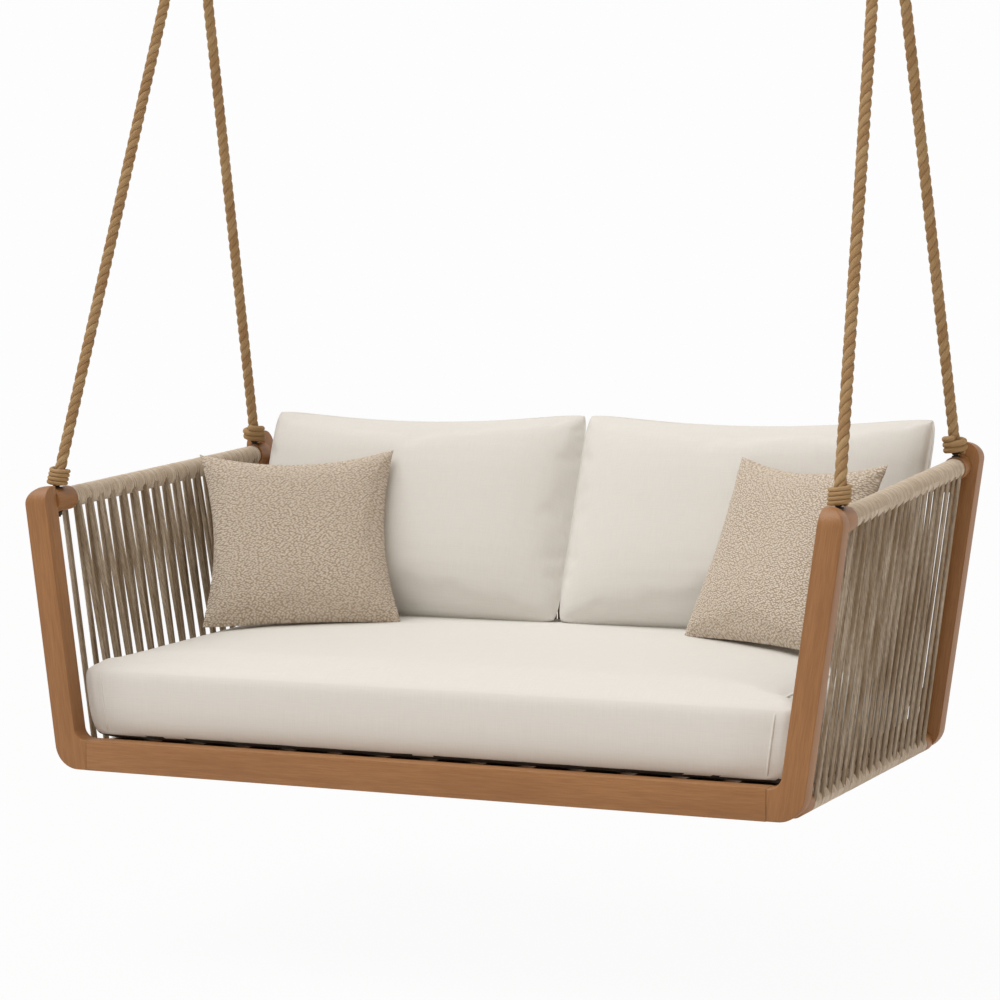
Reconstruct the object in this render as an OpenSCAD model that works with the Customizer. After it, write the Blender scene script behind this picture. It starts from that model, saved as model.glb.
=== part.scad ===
// Hanging swing bed: leaning bentwood posts, corded sides and back, four rope falls from two ceiling plates.
// The origin lies on the ceiling plane, midway between the two plates. X runs along the bed, -Y is its front.

/* [Wooden frame] */
// Width across the sharp top corners of the front posts
top_w = 1900; // [1800:10:2000]
// Width across the sharp bottom corners of the posts
bottom_w = 1728; // [1680:4:1780]
// Depth from the front face to the rear face
depth = 1077; // [1000:1:1150]
// Height of the front posts
front_h = 627; // [600:1:660]
// Height of the rear posts
rear_h = 720; // [700:1:760]
// Width of a post seen from the front
post_w = 54; // [50:1:60]
// Thickness of a post and of the two long rails, front to back
post_d = 48; // [44:1:54]
// Height of the long rails and of the posts' feet
rail_h = 66; // [60:1:74]
// Length of a foot, from its sharp bottom corner to the joint
foot_l = 73; // [70:1:90]
// Radius of a post's outer bottom corner
corner_r = 58; // [40:1:62]
// Radius of the hollow between a post's leg and its foot
inner_r = 28; // [20:1:32]
// Radius of a post's outer top corner
top_corner_r = 38; // [20:1:42]
// Radius that rolls a post's top edge into its face
top_edge_r = 38; // [26:1:42]
// Diameter of the joint dowels
dowel_d = 10; // [8:1:12]
// Length of the joint dowels
dowel_l = 60; // [40:2:64]

/* [Side and back rails] */
// Distance of the upper side rails' axis from the sharp top corner
rail_inset = 38; // [36:1:42]
// Height of the upper side rails' axis at the front post
rail_front_z = 592; // [580:1:596]
// Height of the upper side rails' axis at the rear post
rail_rear_z = 663; // [640:1:670]
// Distance of the lower side rails' axis from the sharp bottom corner
low_inset = 32; // [30:1:38]
// Height of the lower side rails' axis
low_z = 24; // [23:1:30]
// Diameter of an upper rail's bare collars
collar_d = 54; // [50:1:56]
// Diameter of an upper rail between its collars
core_d = 32; // [28:1:34]
// Diameter over the fine cord on an upper rail
wrap_d = 48; // [46:1:50]
// Diameter of a lower rail's bare collars
low_collar_d = 45; // [42:1:46]
// Diameter of a lower rail between its collars
low_core_d = 30; // [26:1:32]
// Diameter over the fine cord on a lower rail
low_wrap_d = 45; // [43:1:46]
// Length of the collars at the front posts
front_collar_l = 75; // [60:1:90]
// Length of the collars at the rear posts and at the ends of the back rails
rear_collar_l = 46; // [45:1:80]
// Diameter of the rails' end tenons
tenon_d = 16; // [12:1:18]
// Length of the rails' end tenons
tenon_l = 22; // [16:1:26]
// Height of the upper back rail's axis
back_top_z = 625; // [560:1:630]
// Height of the lower back rails' axis
back_low_z = 122; // [121:1:150]
// Distance of the back rails' axis from the rear face
back_inset = 24; // [24:1:26]
// Width of the upright in the middle of the back
stile_w = 44; // [36:1:60]
// Thickness of the upright in the middle of the back
stile_d = 40; // [30:1:44]

/* [Cord panels] */
// Width of one strand, a pair of cords side by side
strand_w = 20; // [16:1:24]
// Thickness of one strand
strand_t = 7; // [6:0.5:8]
// Loops of cord on each side panel
side_loops = 18; // [10:1:20]
// Loops of cord on each half of the back
back_loops = 15; // [10:1:18]

/* [Seat] */
// Number of slats
slat_count = 14; // [10:1:16]
// Width of a slat
slat_w = 80; // [60:1:90]
// Thickness of a slat
slat_t = 20; // [16:1:24]
// Depth of the slats' top below the top of the long rails
slat_drop = 8; // [4:1:12]
// Side of the square ledgers that carry the slats
ledger_s = 30; // [26:1:32]
// Length of the ledgers
ledger_l = 1560; // [1500:10:1580]
// Diameter of the wood screws
screw_d = 4.5; // [4:0.5:5]
// Length of the wood screws
screw_l = 45; // [40:1:46]
// Screws through each ledger
ledger_screws = 7; // [4:1:9]

/* [Hanging] */
// Distance between the two hanging points on the ceiling
hook_span = 1696; // [1680:2:1720]
// Distance of the hanging points behind the bed's front face
hook_back = 589; // [560:1:620]
// Depth of the bed's underside below the ceiling
drop = 2133; // [2000:1:2600]
// Distance of the ropes' fixings from the front and rear faces
rope_in = 83; // [80:1:90]
// Diameter of the rope
rope_d = 26; // [22:1:28]
// Radius of the rope's centre line over the thimble
thimble_r = 33; // [31:1:36]
// Depth of the swing pin below the ceiling
swing_z = 36; // [32:1:50]
// Depth of the sway pin below the ceiling
sway_z = 98; // [96:1:120]
// Distance from the sway pin to the thimble
link_l = 75; // [74:1:90]
// Length of a ceiling plate, front to back
plate_l = 120; // [110:1:160]
// Width of a ceiling plate
plate_w = 56; // [50:1:70]
// Thickness of a ceiling plate
plate_t = 6; // [5:1:8]
// Distance between the two holes of a ceiling plate
hole_pitch = 84; // [76:1:90]
// Diameter of the holes in a ceiling plate
hole_d = 11; // [9:0.5:12]
// Diameter of the swing and sway pins
pin_d = 12; // [10:1:12]
// Diameter of the thimble pin
thimble_pin_d = 14; // [12:1:16]
// Diameter of the pins in the rope ends
end_pin_d = 6; // [5:1:6]
// Diameter of the eyebolts' shanks
shank_d = 10; // [8:1:10]

/* [Cushions] */
// Half the length of the seat cushion at its foot
seat_half = 804; // [760:1:806]
// Gap between the front face of the bed and the seat cushion
seat_front = 53; // [52:1:60]
// Distance of the seat cushion's rear edge from the rear face
seat_rear = 62; // [60:1:80]
// Height of the seat cushion's top seam at the front
seat_edge_h = 155; // [120:1:170]
// Rise of that seam towards the back
seat_rise = 30; // [0:1:40]
// Crown of the seat cushion
seat_crown = 44; // [20:1:50]
// Width of a back cushion
back_w = 852; // [800:1:856]
// Height of a back cushion
back_h = 534; // [460:1:560]
// Thickness of a back cushion
back_t = 170; // [120:1:180]
// Lean of the back cushions
back_lean = 22; // [18:1:24]
// Width of a throw pillow
pillow_w = 478; // [420:1:490]
// Height of a throw pillow
pillow_h = 446; // [400:1:460]
// Thickness of a throw pillow
pillow_t = 130; // [100:1:140]
// Lean of the throw pillows
pillow_lean = 23.5; // [20:0.5:26]
// Turn of the throw pillows towards the middle
pillow_turn = 29; // [24:1:32]

/* [Clearances] */
// Radial clearance of a pin that turns in its hole
run_clear = 0.05; // [0.02:0.01:0.08]
// Radial clearance of the opened pivots at the right-hand rope ends
open_clear = 0.9; // [0.6:0.1:1.2]
// Radial clearance of a glued tenon, dowel or screw
glue_clear = 0.05; // [0.02:0.01:0.1]
// Gap between faces that rest or slide on each other
rest_gap = 0.3; // [0.2:0.1:0.5]

/* [Hidden] */

$fn = 64;
e = 1; // how far a cutting shape runs past the solid it cuts

teak = [0.66, 0.43, 0.24];
rope_tan = [0.72, 0.58, 0.40];
cord_grey = [0.66, 0.60, 0.52];
linen = [0.88, 0.86, 0.82];
boucle = [0.76, 0.69, 0.58];
steel = [0.60, 0.60, 0.60];

// The frame, in the bed's own coordinates: z = 0 is its underside and y = 0 its front face
half_b = bottom_w / 2;
lean_k = (top_w / 2 - half_b) / front_h;
lean = atan(lean_k);
post_x = post_w / cos(lean);
joint_x = half_b - foot_l;
rail_y0 = post_d;
rail_y1 = depth - post_d;
slope_k = (rail_rear_z - rail_front_z) / (rail_y1 - rail_y0);
slope = atan(slope_k);
rail_x = top_w / 2 - rail_inset;
low_x = half_b - low_inset;
back_y = depth - back_inset;
slat_top = rail_h - slat_drop;
slat_z = slat_top - slat_t;
ledger_z = slat_z - ledger_s;

function outer_x(z) = half_b + lean_k * z;
function inner_x(z) = outer_x(z) - post_x;
function rail_z(y) = rail_front_z + slope_k * (y - rail_y0);

// The hanging gear, in the row's coordinates on the right-hand side
hook_x = hook_span / 2;
eye_rise = collar_d / 2 + 10.5; // pivot of a rope end above the rail's axis
eye_front = [rail_x, rope_in - hook_back, rail_z(rope_in) - drop] + eye_rise * [0, -sin(slope), cos(slope)];
eye_rear = [rail_x, depth - rope_in - hook_back, rail_z(depth - rope_in) - drop]
    + eye_rise * [0, -sin(slope), cos(slope)];
sway_at = [hook_x, 0, -sway_z];
// Distances measured along the sloping pivot axis and square to it
function along(p) = (p[1] - sway_at[1]) * cos(slope) + (p[2] - sway_at[2]) * sin(slope);
function below(p) = (p[1] - sway_at[1]) * sin(slope) - (p[2] - sway_at[2]) * cos(slope);
fall_tilt = atan((rail_x - hook_x) / below(eye_front));
fall_l = below(eye_front) / cos(fall_tilt);
thimble_at = [-link_l * sin(slope), -link_l * cos(slope)];
front_at = [along(eye_front), -fall_l];
rear_at = [along(eye_rear), -fall_l];

function leg_turn(p) = acos(thimble_r / norm(p - thimble_at));
function ray(p) = atan2(p[1] - thimble_at[1], p[0] - thimble_at[0]);
front_ang = ray(front_at) - leg_turn(front_at);
rear_ang = ray(rear_at) + leg_turn(rear_at);
front_tan = thimble_at + thimble_r * [cos(front_ang), sin(front_ang)];
rear_tan = thimble_at + thimble_r * [cos(rear_ang), sin(rear_ang)];
arc_turn = (front_ang - rear_ang + 720) % 360;

rope_gap = 16; // from a rope end's pin to the rope itself
ferrule_l = 44; // from the same pin to the ferrule's far end
strap_t = 6;
strap_gap = rope_d + 6;
cheek_t = 7;
barrel_l = 18;

echo(slope = slope, lean = lean, fall_tilt = fall_tilt, fall_l = fall_l);
echo(eye_front = eye_front, eye_rear = eye_rear, sway_at = sway_at);
echo(tie_ratio = -(1 - (rail_x - hook_x) / rail_x));
echo(rope_length = norm(front_tan - front_at) + norm(rear_tan - rear_at) - 2 * rope_gap
    + thimble_r * arc_turn * PI / 180);
echo(front_tan = front_tan, rear_tan = rear_tan, arc_turn = arc_turn);
echo(front_at = front_at, rear_at = rear_at, thimble_at = thimble_at);

module in_bed() {
    translate([0, -hook_back, -drop]) children();
}

module on_side(s) {
    mirror([s < 0 ? 1 : 0, 0, 0]) children();
}

// Right-hand frame at the sway pin, Y along the sloping pivot axis
module at_sway() {
    translate(sway_at) rotate([slope, 0, 0]) children();
}

// The plane of one pair of rope falls: Y along the pivot axis, -Z down the falls
module in_fall() {
    at_sway() rotate([0, -fall_tilt, 0]) children();
}

module at_fall(p) {
    in_fall() translate([0, p[0], p[1]]) children();
}

// A cylinder along X, or along Y, centred
module bar_x(d, l) {
    rotate([0, 90, 0]) cylinder(d = d, h = l, center = true);
}

module bar_y(d, l) {
    rotate([90, 0, 0]) cylinder(d = d, h = l, center = true);
}

// A cylinder from point a to point b
module bar_between(a, b, d) {
    v = b - a;
    translate(a)
        rotate([0, acos(v[2] / norm(v)), atan2(v[1], v[0])])
            cylinder(d = d, h = norm(v));
}

// ---- ceiling gear ----
plate_ear_gap = 28;
ear_t = 6;
ear_w = 32; // width of a plate's ear, and the diameter of its rounded end

module ceiling_plate(s) {
    color(steel) on_side(s) translate([hook_x, 0, 0]) difference() {
        union() {
            translate([-plate_w / 2, -plate_l / 2, -plate_t]) cube([plate_w, plate_l, plate_t]);
            for (m = [-1, 1]) {
                translate([m * (plate_ear_gap + ear_t) / 2, 0, 0]) {
                    translate([-ear_t / 2, -ear_w / 2, -swing_z]) cube([ear_t, ear_w, swing_z - plate_t / 2]);
                    translate([0, 0, -swing_z]) bar_x(ear_w, ear_t);
                }
            }
        }
        for (m = [-1, 1])
            translate([0, m * hole_pitch / 2, -plate_t - e]) cylinder(d = hole_d, h = plate_t + 2 * e);
        translate([0, 0, -swing_z]) bar_x(pin_d + 2 * glue_clear, plate_w + 2 * e);
    }
}

rivet_head = 4; // thickness of a pin's head
rivet_rim = 3.5; // how far a head stands out round its pin

// A pin riveted over at both ends
module riveted_pin(d, grip) {
    bar_x(d, grip + 6);
    for (m = [-1, 1])
        translate([m * (grip / 2 + 2.2), 0, 0]) bar_x(d + 2 * rivet_rim, rivet_head);
}

module swing_pins() {
    color(steel) for (s = [-1, 1])
        translate([s * hook_x, 0, -swing_z]) riveted_pin(pin_d, plate_ear_gap + 2 * ear_t);
}

bush_wall = 3;
barrel_d = 30; // the hanger's barrel round its bush
fork_l = 24; // width of the fork's cheeks, along the bed
fork_root = 15; // from the sway pin to the fork's solid root

module swing_bush(s) {
    color("white") on_side(s) translate([hook_x, 0, -swing_z]) difference() {
        bar_x(pin_d + 2 * bush_wall, plate_ear_gap - 2 * rest_gap);
        bar_x(pin_d + 2 * run_clear, plate_ear_gap + e);
    }
}

// Barrel on the swing pin above, fork for the sway pin below
module hanger(s) {
    fork_w = barrel_l + 2 * rest_gap + 2 * cheek_t;
    color(steel) on_side(s) difference() {
        union() {
            translate([hook_x, 0, -swing_z]) bar_x(barrel_d, plate_ear_gap - 1.5);
            at_sway() {
                translate([-fork_l / 2, -fork_w / 2, fork_root])
                    cube([fork_l, fork_w, sway_z - swing_z - fork_root - bush_wall - pin_d / 2 - 3]);
                for (m = [-1, 1]) translate([0, m * (fork_w - cheek_t) / 2, 0]) {
                    translate([-fork_l / 2, -cheek_t / 2, 0]) cube([fork_l, cheek_t, fork_root + e]);
                    bar_y(fork_l, cheek_t);
                }
            }
        }
        translate([hook_x, 0, -swing_z]) bar_x(pin_d + 2 * bush_wall + 2 * glue_clear, plate_ear_gap + e);
        at_sway() bar_y(pin_d + 2 * glue_clear, fork_w + 2 * e);
    }
}

module sway_pin(s) {
    color(steel) on_side(s) at_sway() rotate([0, 0, 90])
        riveted_pin(pin_d, barrel_l + 2 * rest_gap + 2 * cheek_t);
}

yoke_d = 25; // the yoke's barrel
bridge_z = [-24, -10]; // foot and top of the bridge that joins its two straps
strap_eye = 26;

// Barrel on the sway pin above, two straps round the rope down to the thimble pin
module yoke(s) {
    strap_w = barrel_l - 2;
    color(steel) on_side(s) in_fall() difference() {
        union() {
            bar_y(yoke_d, barrel_l);
            rotate([-slope, 0, 0]) {
                translate([-strap_gap / 2 - strap_t, -strap_w / 2, bridge_z[0]])
                    cube([strap_gap + 2 * strap_t, strap_w, bridge_z[1] - bridge_z[0]]);
                for (m = [-1, 1]) translate([m * (strap_gap + strap_t) / 2, 0, 0]) {
                    translate([-strap_t / 2, -strap_w / 2, -link_l])
                        cube([strap_t, strap_w, link_l + bridge_z[1] - 4]);
                    translate([0, 0, -link_l]) bar_x(strap_eye, strap_t);
                }
            }
        }
        bar_y(pin_d + 2 * run_clear, barrel_l + 2 * e);
        rotate([-slope, 0, 0]) translate([0, 0, -link_l])
            bar_x(thimble_pin_d + 2 * glue_clear, strap_gap + 3 * strap_t);
    }
}

// Grooved wheel that the rope lies over
module thimble(s) {
    bore_r = thimble_pin_d / 2 + glue_clear;
    color(steel) on_side(s) at_fall(thimble_at) rotate([0, 90, 0]) rotate_extrude() difference() {
        translate([bore_r, -rope_d / 2 - 2]) square([thimble_r - 3 - bore_r, rope_d + 4]);
        translate([thimble_r, 0]) circle(d = rope_d + 2 * rest_gap);
    }
}

module thimble_pin(s) {
    color(steel) on_side(s) at_fall(thimble_at) riveted_pin(thimble_pin_d, strap_gap + 2 * strap_t);
}

// ---- ropes and their ends ----
function unit(v) = v / norm(v);
front_dir = unit(front_tan - front_at);
rear_dir = unit(rear_tan - rear_at);
function flat(p) = [0, p[0], p[1]];

bend_swell = 0.1; // extra thickness of the rope where it bends over the thimble

// One rope: up from the front fixing, over the thimble and down to the rear fixing
module rope(s) {
    color(rope_tan) on_side(s) in_fall() difference() {
        union() {
            for (q = [[front_at, front_dir, front_tan], [rear_at, rear_dir, rear_tan]])
                bar_between(flat(q[0] + rope_gap * q[1]), flat(q[2] + q[1]), rope_d - bend_swell);
            translate(flat(thimble_at)) rotate([rear_ang, 0, 0]) rotate([0, 90, 0]) rotate([0, 0, 90])
                rotate_extrude(angle = arc_turn) translate([thimble_r, 0]) circle(d = rope_d);
        }
        for (q = [[front_at, front_dir], [rear_at, rear_dir]])
            bar_between(flat(q[0]), flat(q[0] + (ferrule_l + 0.5) * q[1]), ferrule_d + 2 * glue_clear);
    }
}

ferrule_d = 15;
tongue_t = 8; // thickness of an eyebolt's flat eye
jaw_t = 4;
eye_d = 16;
jaw_gap = tongue_t + 2 * rest_gap;

// Steel end of a rope: jaws on the eyebolt's eye, ferrule up inside the rope
module rope_terminal(at, dir) {
    translate(flat(at)) difference() {
        union() {
            for (m = [-1, 1]) translate([0, m * (jaw_gap + jaw_t) / 2, 0]) {
                bar_y(eye_d, jaw_t);
                translate([-eye_d / 2, -jaw_t / 2, 0]) cube([eye_d, jaw_t, 12.5]);
            }
            translate([-eye_d / 2, -jaw_gap / 2 - jaw_t, 9.5]) cube([eye_d, jaw_gap + 2 * jaw_t, 3]);
            intersection() {
                bar_between([0, 0, 0], flat(ferrule_l * dir), ferrule_d);
                translate([-30, -30, 10]) cube([60, 60, 60]);
            }
        }
        bar_y(end_pin_d + 2 * glue_clear, 40);
    }
}

module rope_terminals(s) {
    color(steel) on_side(s) in_fall() {
        rope_terminal(front_at, front_dir);
        rope_terminal(rear_at, rear_dir);
    }
}

module end_pins(s) {
    color(steel) on_side(s) in_fall() for (p = [front_at, rear_at])
        translate(flat(p)) bar_y(end_pin_d, jaw_gap + 2 * jaw_t + 1);
}

// Turns of cord bound round a rope end, stacked square to the rail and centred on the sloping rope
module binding(at, dir, cord_d, rings, out_d) {
    lead = dir[0] / dir[1];
    difference() {
        translate(flat(at)) for (i = [0:rings - 1]) {
            h = binding_z + cord_d / 2 + cord_d * cord_nest * i;
            translate([0, lead * h, h]) {
                rotate_extrude() translate([(out_d - cord_d) / 2, 0]) circle(d = cord_d);
                cylinder(d = out_d - cord_d, h = cord_d - 1, center = true);
            }
        }
        bar_between(flat(at), flat(at + 90 * dir), rope_d + 2 * glue_clear);
        translate(flat(at)) translate([0, 0, -20]) cylinder(d = rope_d - 0.5, h = 20 + rope_gap - 2);
    }
}

binding_z = -6; // lower face of a binding, from the rope end's pin
cord_nest = 0.92; // height of one turn as a share of its cord

module rope_collar(s) {
    color(rope_tan) on_side(s) in_fall() binding(front_at, front_dir, 9, 4, 48);
}

module rope_knot(s) {
    color(rope_tan) on_side(s) in_fall() binding(rear_at, rear_dir, 14, 3, 56);
}

// ---- fixings in the upper side rails ----
spot = 2; // depth of the flats that the eyebolts and their nuts bear on
flange_d = eye_d + 2;
flange_t = 3.5;
nut_w = 18; // across the corners
nut_h = 9;
washer_d = 20;
washer_t = 2;
bolt_tail = 12; // how far a shank runs on below the rail

// On the axis of an upper side rail at distance y, Z square to the rail
module on_rail(y) {
    translate([rail_x, y, rail_z(y)]) rotate([slope, 0, 0]) children();
}

rope_ys = [rope_in, depth - rope_in];

module eyebolt(loose) {
    difference() {
        union() {
            translate([0, 0, eye_rise]) bar_y(eye_d, tongue_t);
            translate([0, 0, collar_d / 2 - spot]) cylinder(d = flange_d, h = flange_t);
            translate([-tongue_t / 2, -tongue_t / 2, collar_d / 2])
                cube([tongue_t, tongue_t, eye_rise - collar_d / 2 - 3]);
            translate([0, 0, -collar_d / 2 - bolt_tail]) cylinder(d = shank_d, h = collar_d + bolt_tail);
        }
        translate([0, 0, eye_rise]) bar_y(end_pin_d + 2 * loose, tongue_t + 2 * e);
    }
}

module eyebolts() {
    color(steel) in_bed() for (s = [-1, 1]) on_side(s)
        for (y = rope_ys) on_rail(y) eyebolt(s < 0 ? run_clear : open_clear);
}

module eyebolt_nuts() {
    color(steel) in_bed() for (s = [-1, 1]) on_side(s)
        for (y = rope_ys) on_rail(y) translate([0, 0, -collar_d / 2 + spot]) difference() {
            union() {
                translate([0, 0, -nut_h - washer_t / 2]) cylinder(d = nut_w, h = nut_h, $fn = 6);
                translate([0, 0, -washer_t]) cylinder(d = washer_d, h = washer_t);
            }
            translate([0, 0, -2 * nut_h]) cylinder(d = shank_d + 2 * glue_clear, h = 3 * nut_h);
        }
}

// ---- posts and long rails ----
// Prism over an outline in XZ, from the front face to the back face of the timber
module slab(points) {
    translate([0, post_d, 0]) rotate([90, 0, 0]) linear_extrude(post_d) polygon(points);
}

module round_y(r, at) {
    translate([at[0], -e, at[1]]) rotate([-90, 0, 0]) cylinder(r = r, h = post_d + 2 * e);
}

out_n = [cos(lean), -sin(lean)];

// Right-hand post: leaning leg and foot in one piece, square-edged front and back
module post_blank(h) {
    low_c = [half_b - corner_r * (1 - sin(lean)) / cos(lean), corner_r];
    fil_z = rail_h + inner_r;
    fil_c = [half_b + (fil_z * sin(lean) - post_w - inner_r) / cos(lean), fil_z];
    top_c = [outer_x(h - top_corner_r) - top_corner_r / cos(lean), h - top_corner_r];
    difference() {
        union() {
            slab([[half_b, 0], [outer_x(h), h], [inner_x(h), h], [inner_x(rail_h), rail_h],
                [joint_x, rail_h], [joint_x, 0]]);
            difference() {
                slab([fil_c, [fil_c[0], rail_h - e], [inner_x(rail_h) + 2, rail_h - e],
                    fil_c + (inner_r + e) * out_n]);
                round_y(inner_r, fil_c);
            }
        }
        corner_cut(low_c, corner_r, [low_c[0], -e], [half_b + 12, -e]);
        corner_cut(top_c, top_corner_r, [top_c[0], h + e], [outer_x(h) + 12, h + e]);
    }
}

// Takes off what lies between a corner and its arc about c
module corner_cut(c, r, a, corner) {
    difference() {
        translate([0, -e, 0]) scale([1, (post_d + 2 * e) / post_d, 1])
            slab([c, a, corner, c + (r + 12) * out_n]);
        translate([0, -e, 0]) round_y(r, c);
        translate([0, e, 0]) round_y(r, c);
    }
}

// Rolls the top edge over; the blank's front face is at y = 0
module rolled_top(h) {
    difference() {
        children();
        difference() {
            translate([inner_x(h) - 40, -e, h - top_edge_r])
                cube([post_x + 80, top_edge_r + e, top_edge_r + e]);
            translate([inner_x(h) - 50, top_edge_r, h - top_edge_r]) rotate([0, 90, 0])
                cylinder(r = top_edge_r, h = post_x + 100);
        }
    }
}

module dowel_row(d, l) {
    for (m = [-1, 1]) translate([joint_x, post_d / 2, rail_h / 2 + m * rail_h * 0.2]) bar_x(d, l);
}

// Solids of the rails' tenons, for the rails and, a little larger, for the holes in the posts
module side_tenons(g) {
    reach = tenon_l + rail_y1 - rail_y0;
    on_rail(depth / 2) bar_y(tenon_d + 2 * g, (reach + tenon_l + 2 * g) / cos(slope));
    translate([low_x, depth / 2, low_z]) bar_y(tenon_d + 2 * g, reach + tenon_l + 2 * g);
}

module back_tenons(g) {
    for (z = [back_top_z, back_low_z])
        translate([inner_x(z), back_y, z]) bar_x(tenon_d + 2 * g, 2 * tenon_l + 2 * g);
}

module front_post(s) {
    color(teak) in_bed() on_side(s) difference() {
        rolled_top(front_h) post_blank(front_h);
        side_tenons(glue_clear);
        dowel_row(dowel_d + 2 * glue_clear, dowel_l + 1);
    }
}

module rear_post(s) {
    color(teak) in_bed() on_side(s) difference() {
        translate([0, depth, 0]) mirror([0, 1, 0]) rolled_top(rear_h) post_blank(rear_h);
        side_tenons(glue_clear);
        back_tenons(glue_clear);
        translate([0, depth - post_d, 0]) dowel_row(dowel_d + 2 * glue_clear, dowel_l + 1);
    }
}

module corner_dowels() {
    color(teak) in_bed() for (s = [-1, 1]) on_side(s) {
        dowel_row(dowel_d, dowel_l);
        translate([0, depth - post_d, 0]) dowel_row(dowel_d, dowel_l);
    }
}

module long_rail() {
    difference() {
        translate([-joint_x, 0, 0]) cube([2 * joint_x, post_d, rail_h]);
        for (s = [-1, 1]) on_side(s) dowel_row(dowel_d + 2 * glue_clear, dowel_l + 1);
        ledger_screw_set(post_d + ledger_s, screw_d + 2 * glue_clear, screw_l + 1);
    }
}

module front_rail() {
    color(teak) in_bed() long_rail();
}

module rear_rail() {
    color(teak) in_bed() difference() {
        translate([0, depth, 0]) mirror([0, 1, 0]) long_rail();
        stile_tenon(glue_clear);
    }
}

// ---- turned rails ----
module between_posts() {
    intersection() {
        children();
        translate([-top_w, rail_y0, -50]) cube([2 * top_w, rail_y1 - rail_y0, rear_h + 100]);
    }
}

// Collars run on past the posts' faces and are cut off there; k stretches a rail that slopes
module raw_rail(core, collar, k) {
    bar_y(core, depth * k);
    for (q = [[0, rail_y0 + front_collar_l], [rail_y1 - rear_collar_l, depth]])
        translate([0, ((q[0] + q[1]) / 2 - depth / 2) * k, 0]) bar_y(collar, (q[1] - q[0]) * k);
}

module side_top_rail(s) {
    color(teak) in_bed() on_side(s) difference() {
        union() {
            between_posts() on_rail(depth / 2) raw_rail(core_d, collar_d, 1 / cos(slope));
            intersection() {
                side_tenons(0);
                translate([0, 0, rail_front_z / 2]) cube([top_w, 3 * depth, 3 * rail_h + rear_h]);
            }
        }
        for (y = rope_ys) on_rail(y) {
            translate([0, 0, -collar_d]) cylinder(d = shank_d + 2 * glue_clear, h = 2 * collar_d);
            translate([0, 0, collar_d / 2 - spot]) cylinder(d = flange_d + 1, h = collar_d);
            translate([0, 0, -3 * collar_d / 2 + spot]) cylinder(d = washer_d + 2, h = collar_d);
        }
    }
}

module side_low_rail(s) {
    color(teak) in_bed() on_side(s) union() {
        between_posts() translate([low_x, depth / 2, low_z]) raw_rail(low_core_d, low_collar_d, 1);
        translate([low_x, depth / 2, low_z]) bar_y(tenon_d, rail_y1 - rail_y0 + 2 * tenon_l);
    }
}

module back_top_rail() {
    x1 = inner_x(back_top_z);
    color(teak) in_bed() difference() {
        union() {
            intersection() {
                union() {
                    translate([0, back_y, back_top_z]) bar_x(core_d, 2 * x1 + post_w);
                    for (s = [-1, 0, 1]) translate([s * x1, back_y, back_top_z])
                        bar_x(collar_d - 6, s == 0 ? stile_w + 16 : 2 * rear_collar_l);
                }
                back_field();
            }
            translate([0, back_y, back_top_z]) bar_x(tenon_d, 2 * x1 + 2 * tenon_l);
        }
        stile_tenon(glue_clear);
    }
}

// The space between the rear posts' inner faces
module back_field() {
    translate([0, depth, 0]) rotate([90, 0, 0]) linear_extrude(post_d)
        polygon([[-inner_x(0), 0], [inner_x(0), 0], [inner_x(rear_h), rear_h], [-inner_x(rear_h), rear_h]]);
}

module back_low_rails() {
    x1 = inner_x(back_low_z);
    color(teak) in_bed() for (s = [-1, 1]) on_side(s) union() {
        intersection() {
            union() {
                translate([x1 / 2 + stile_w / 2, back_y, back_low_z]) bar_x(low_core_d, x1 + post_w);
                translate([x1, back_y, back_low_z]) bar_x(low_collar_d, 2 * rear_collar_l);
            }
            back_field();
            translate([stile_w / 2, 0, 0]) cube([top_w, 2 * depth, rear_h]);
        }
        translate([(x1 + stile_w / 2) / 2, back_y, back_low_z])
            bar_x(tenon_d, x1 - stile_w / 2 + 2 * tenon_l - 6);
    }
}

// Tenons at the two ends of the upright, or their holes
module stile_tenon(g) {
    translate([0, back_y, rail_h - tenon_l - g]) cylinder(d = tenon_d + 2 * g, h = tenon_l + 2 + 2 * g);
    translate([0, back_y, back_top_z - collar_d / 2 - 4]) cylinder(d = tenon_d + 2 * g, h = tenon_l + 4 + g);
}

module back_stile() {
    color(teak) in_bed() difference() {
        union() {
            difference() {
                translate([-stile_w / 2, back_y - stile_d / 2, rail_h])
                    cube([stile_w, stile_d, back_top_z - rail_h]);
                translate([0, back_y, back_top_z]) bar_x(collar_d - 6 + 2 * glue_clear, stile_w + 20);
            }
            stile_tenon(0);
        }
        for (s = [-1, 1]) translate([s * stile_w / 2, back_y, back_low_z])
            bar_x(tenon_d + 2 * glue_clear, 2 * (tenon_l - 3) + 1);
    }
}

// ---- cord panels ----
side_a = rail_y0 + front_collar_l;
side_b = rail_y1 - rear_collar_l;
side_pitch = (side_b - side_a) / (side_loops + 1);
function side_y(i) = side_a + side_pitch * (i + 0.5);
back_a = stile_w / 2 + 8;
back_b = inner_x(back_low_z) - rear_collar_l;
back_pitch = (back_b - back_a) / (back_loops + 1);
function back_x(i) = back_a + back_pitch * (i + 0.5);

// Radius of a strand's centre line round a core, so that its five-ringed half turn clears the core
arc_step = 45;
function arc_r(core) = (core / 2 + rest_gap + strand_t / 2) / cos(arc_step / 2);

// One ring of six points about p: w along the rail, n square to the strand
function ring(p, w, n) = [
    for (q = [[1, 0], [0.5, 1], [-0.5, 1], [-1, 0], [-0.5, -1], [0.5, -1]])
        p + q[0] * strand_w / 2 * w + q[1] * strand_t / 2 * n];

// Half a turn round the core centred at c, from angle f to f + 180
function half_turn(c, u, v, w, r, f) = [
    for (k = [0:4]) let(a = f + arc_step * k, n = cos(a) * v + sin(a) * u)
        [c + r * n, w, n * (k == 0 || k == 4 ? 1 : 1 / cos(arc_step / 2))]];

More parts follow.
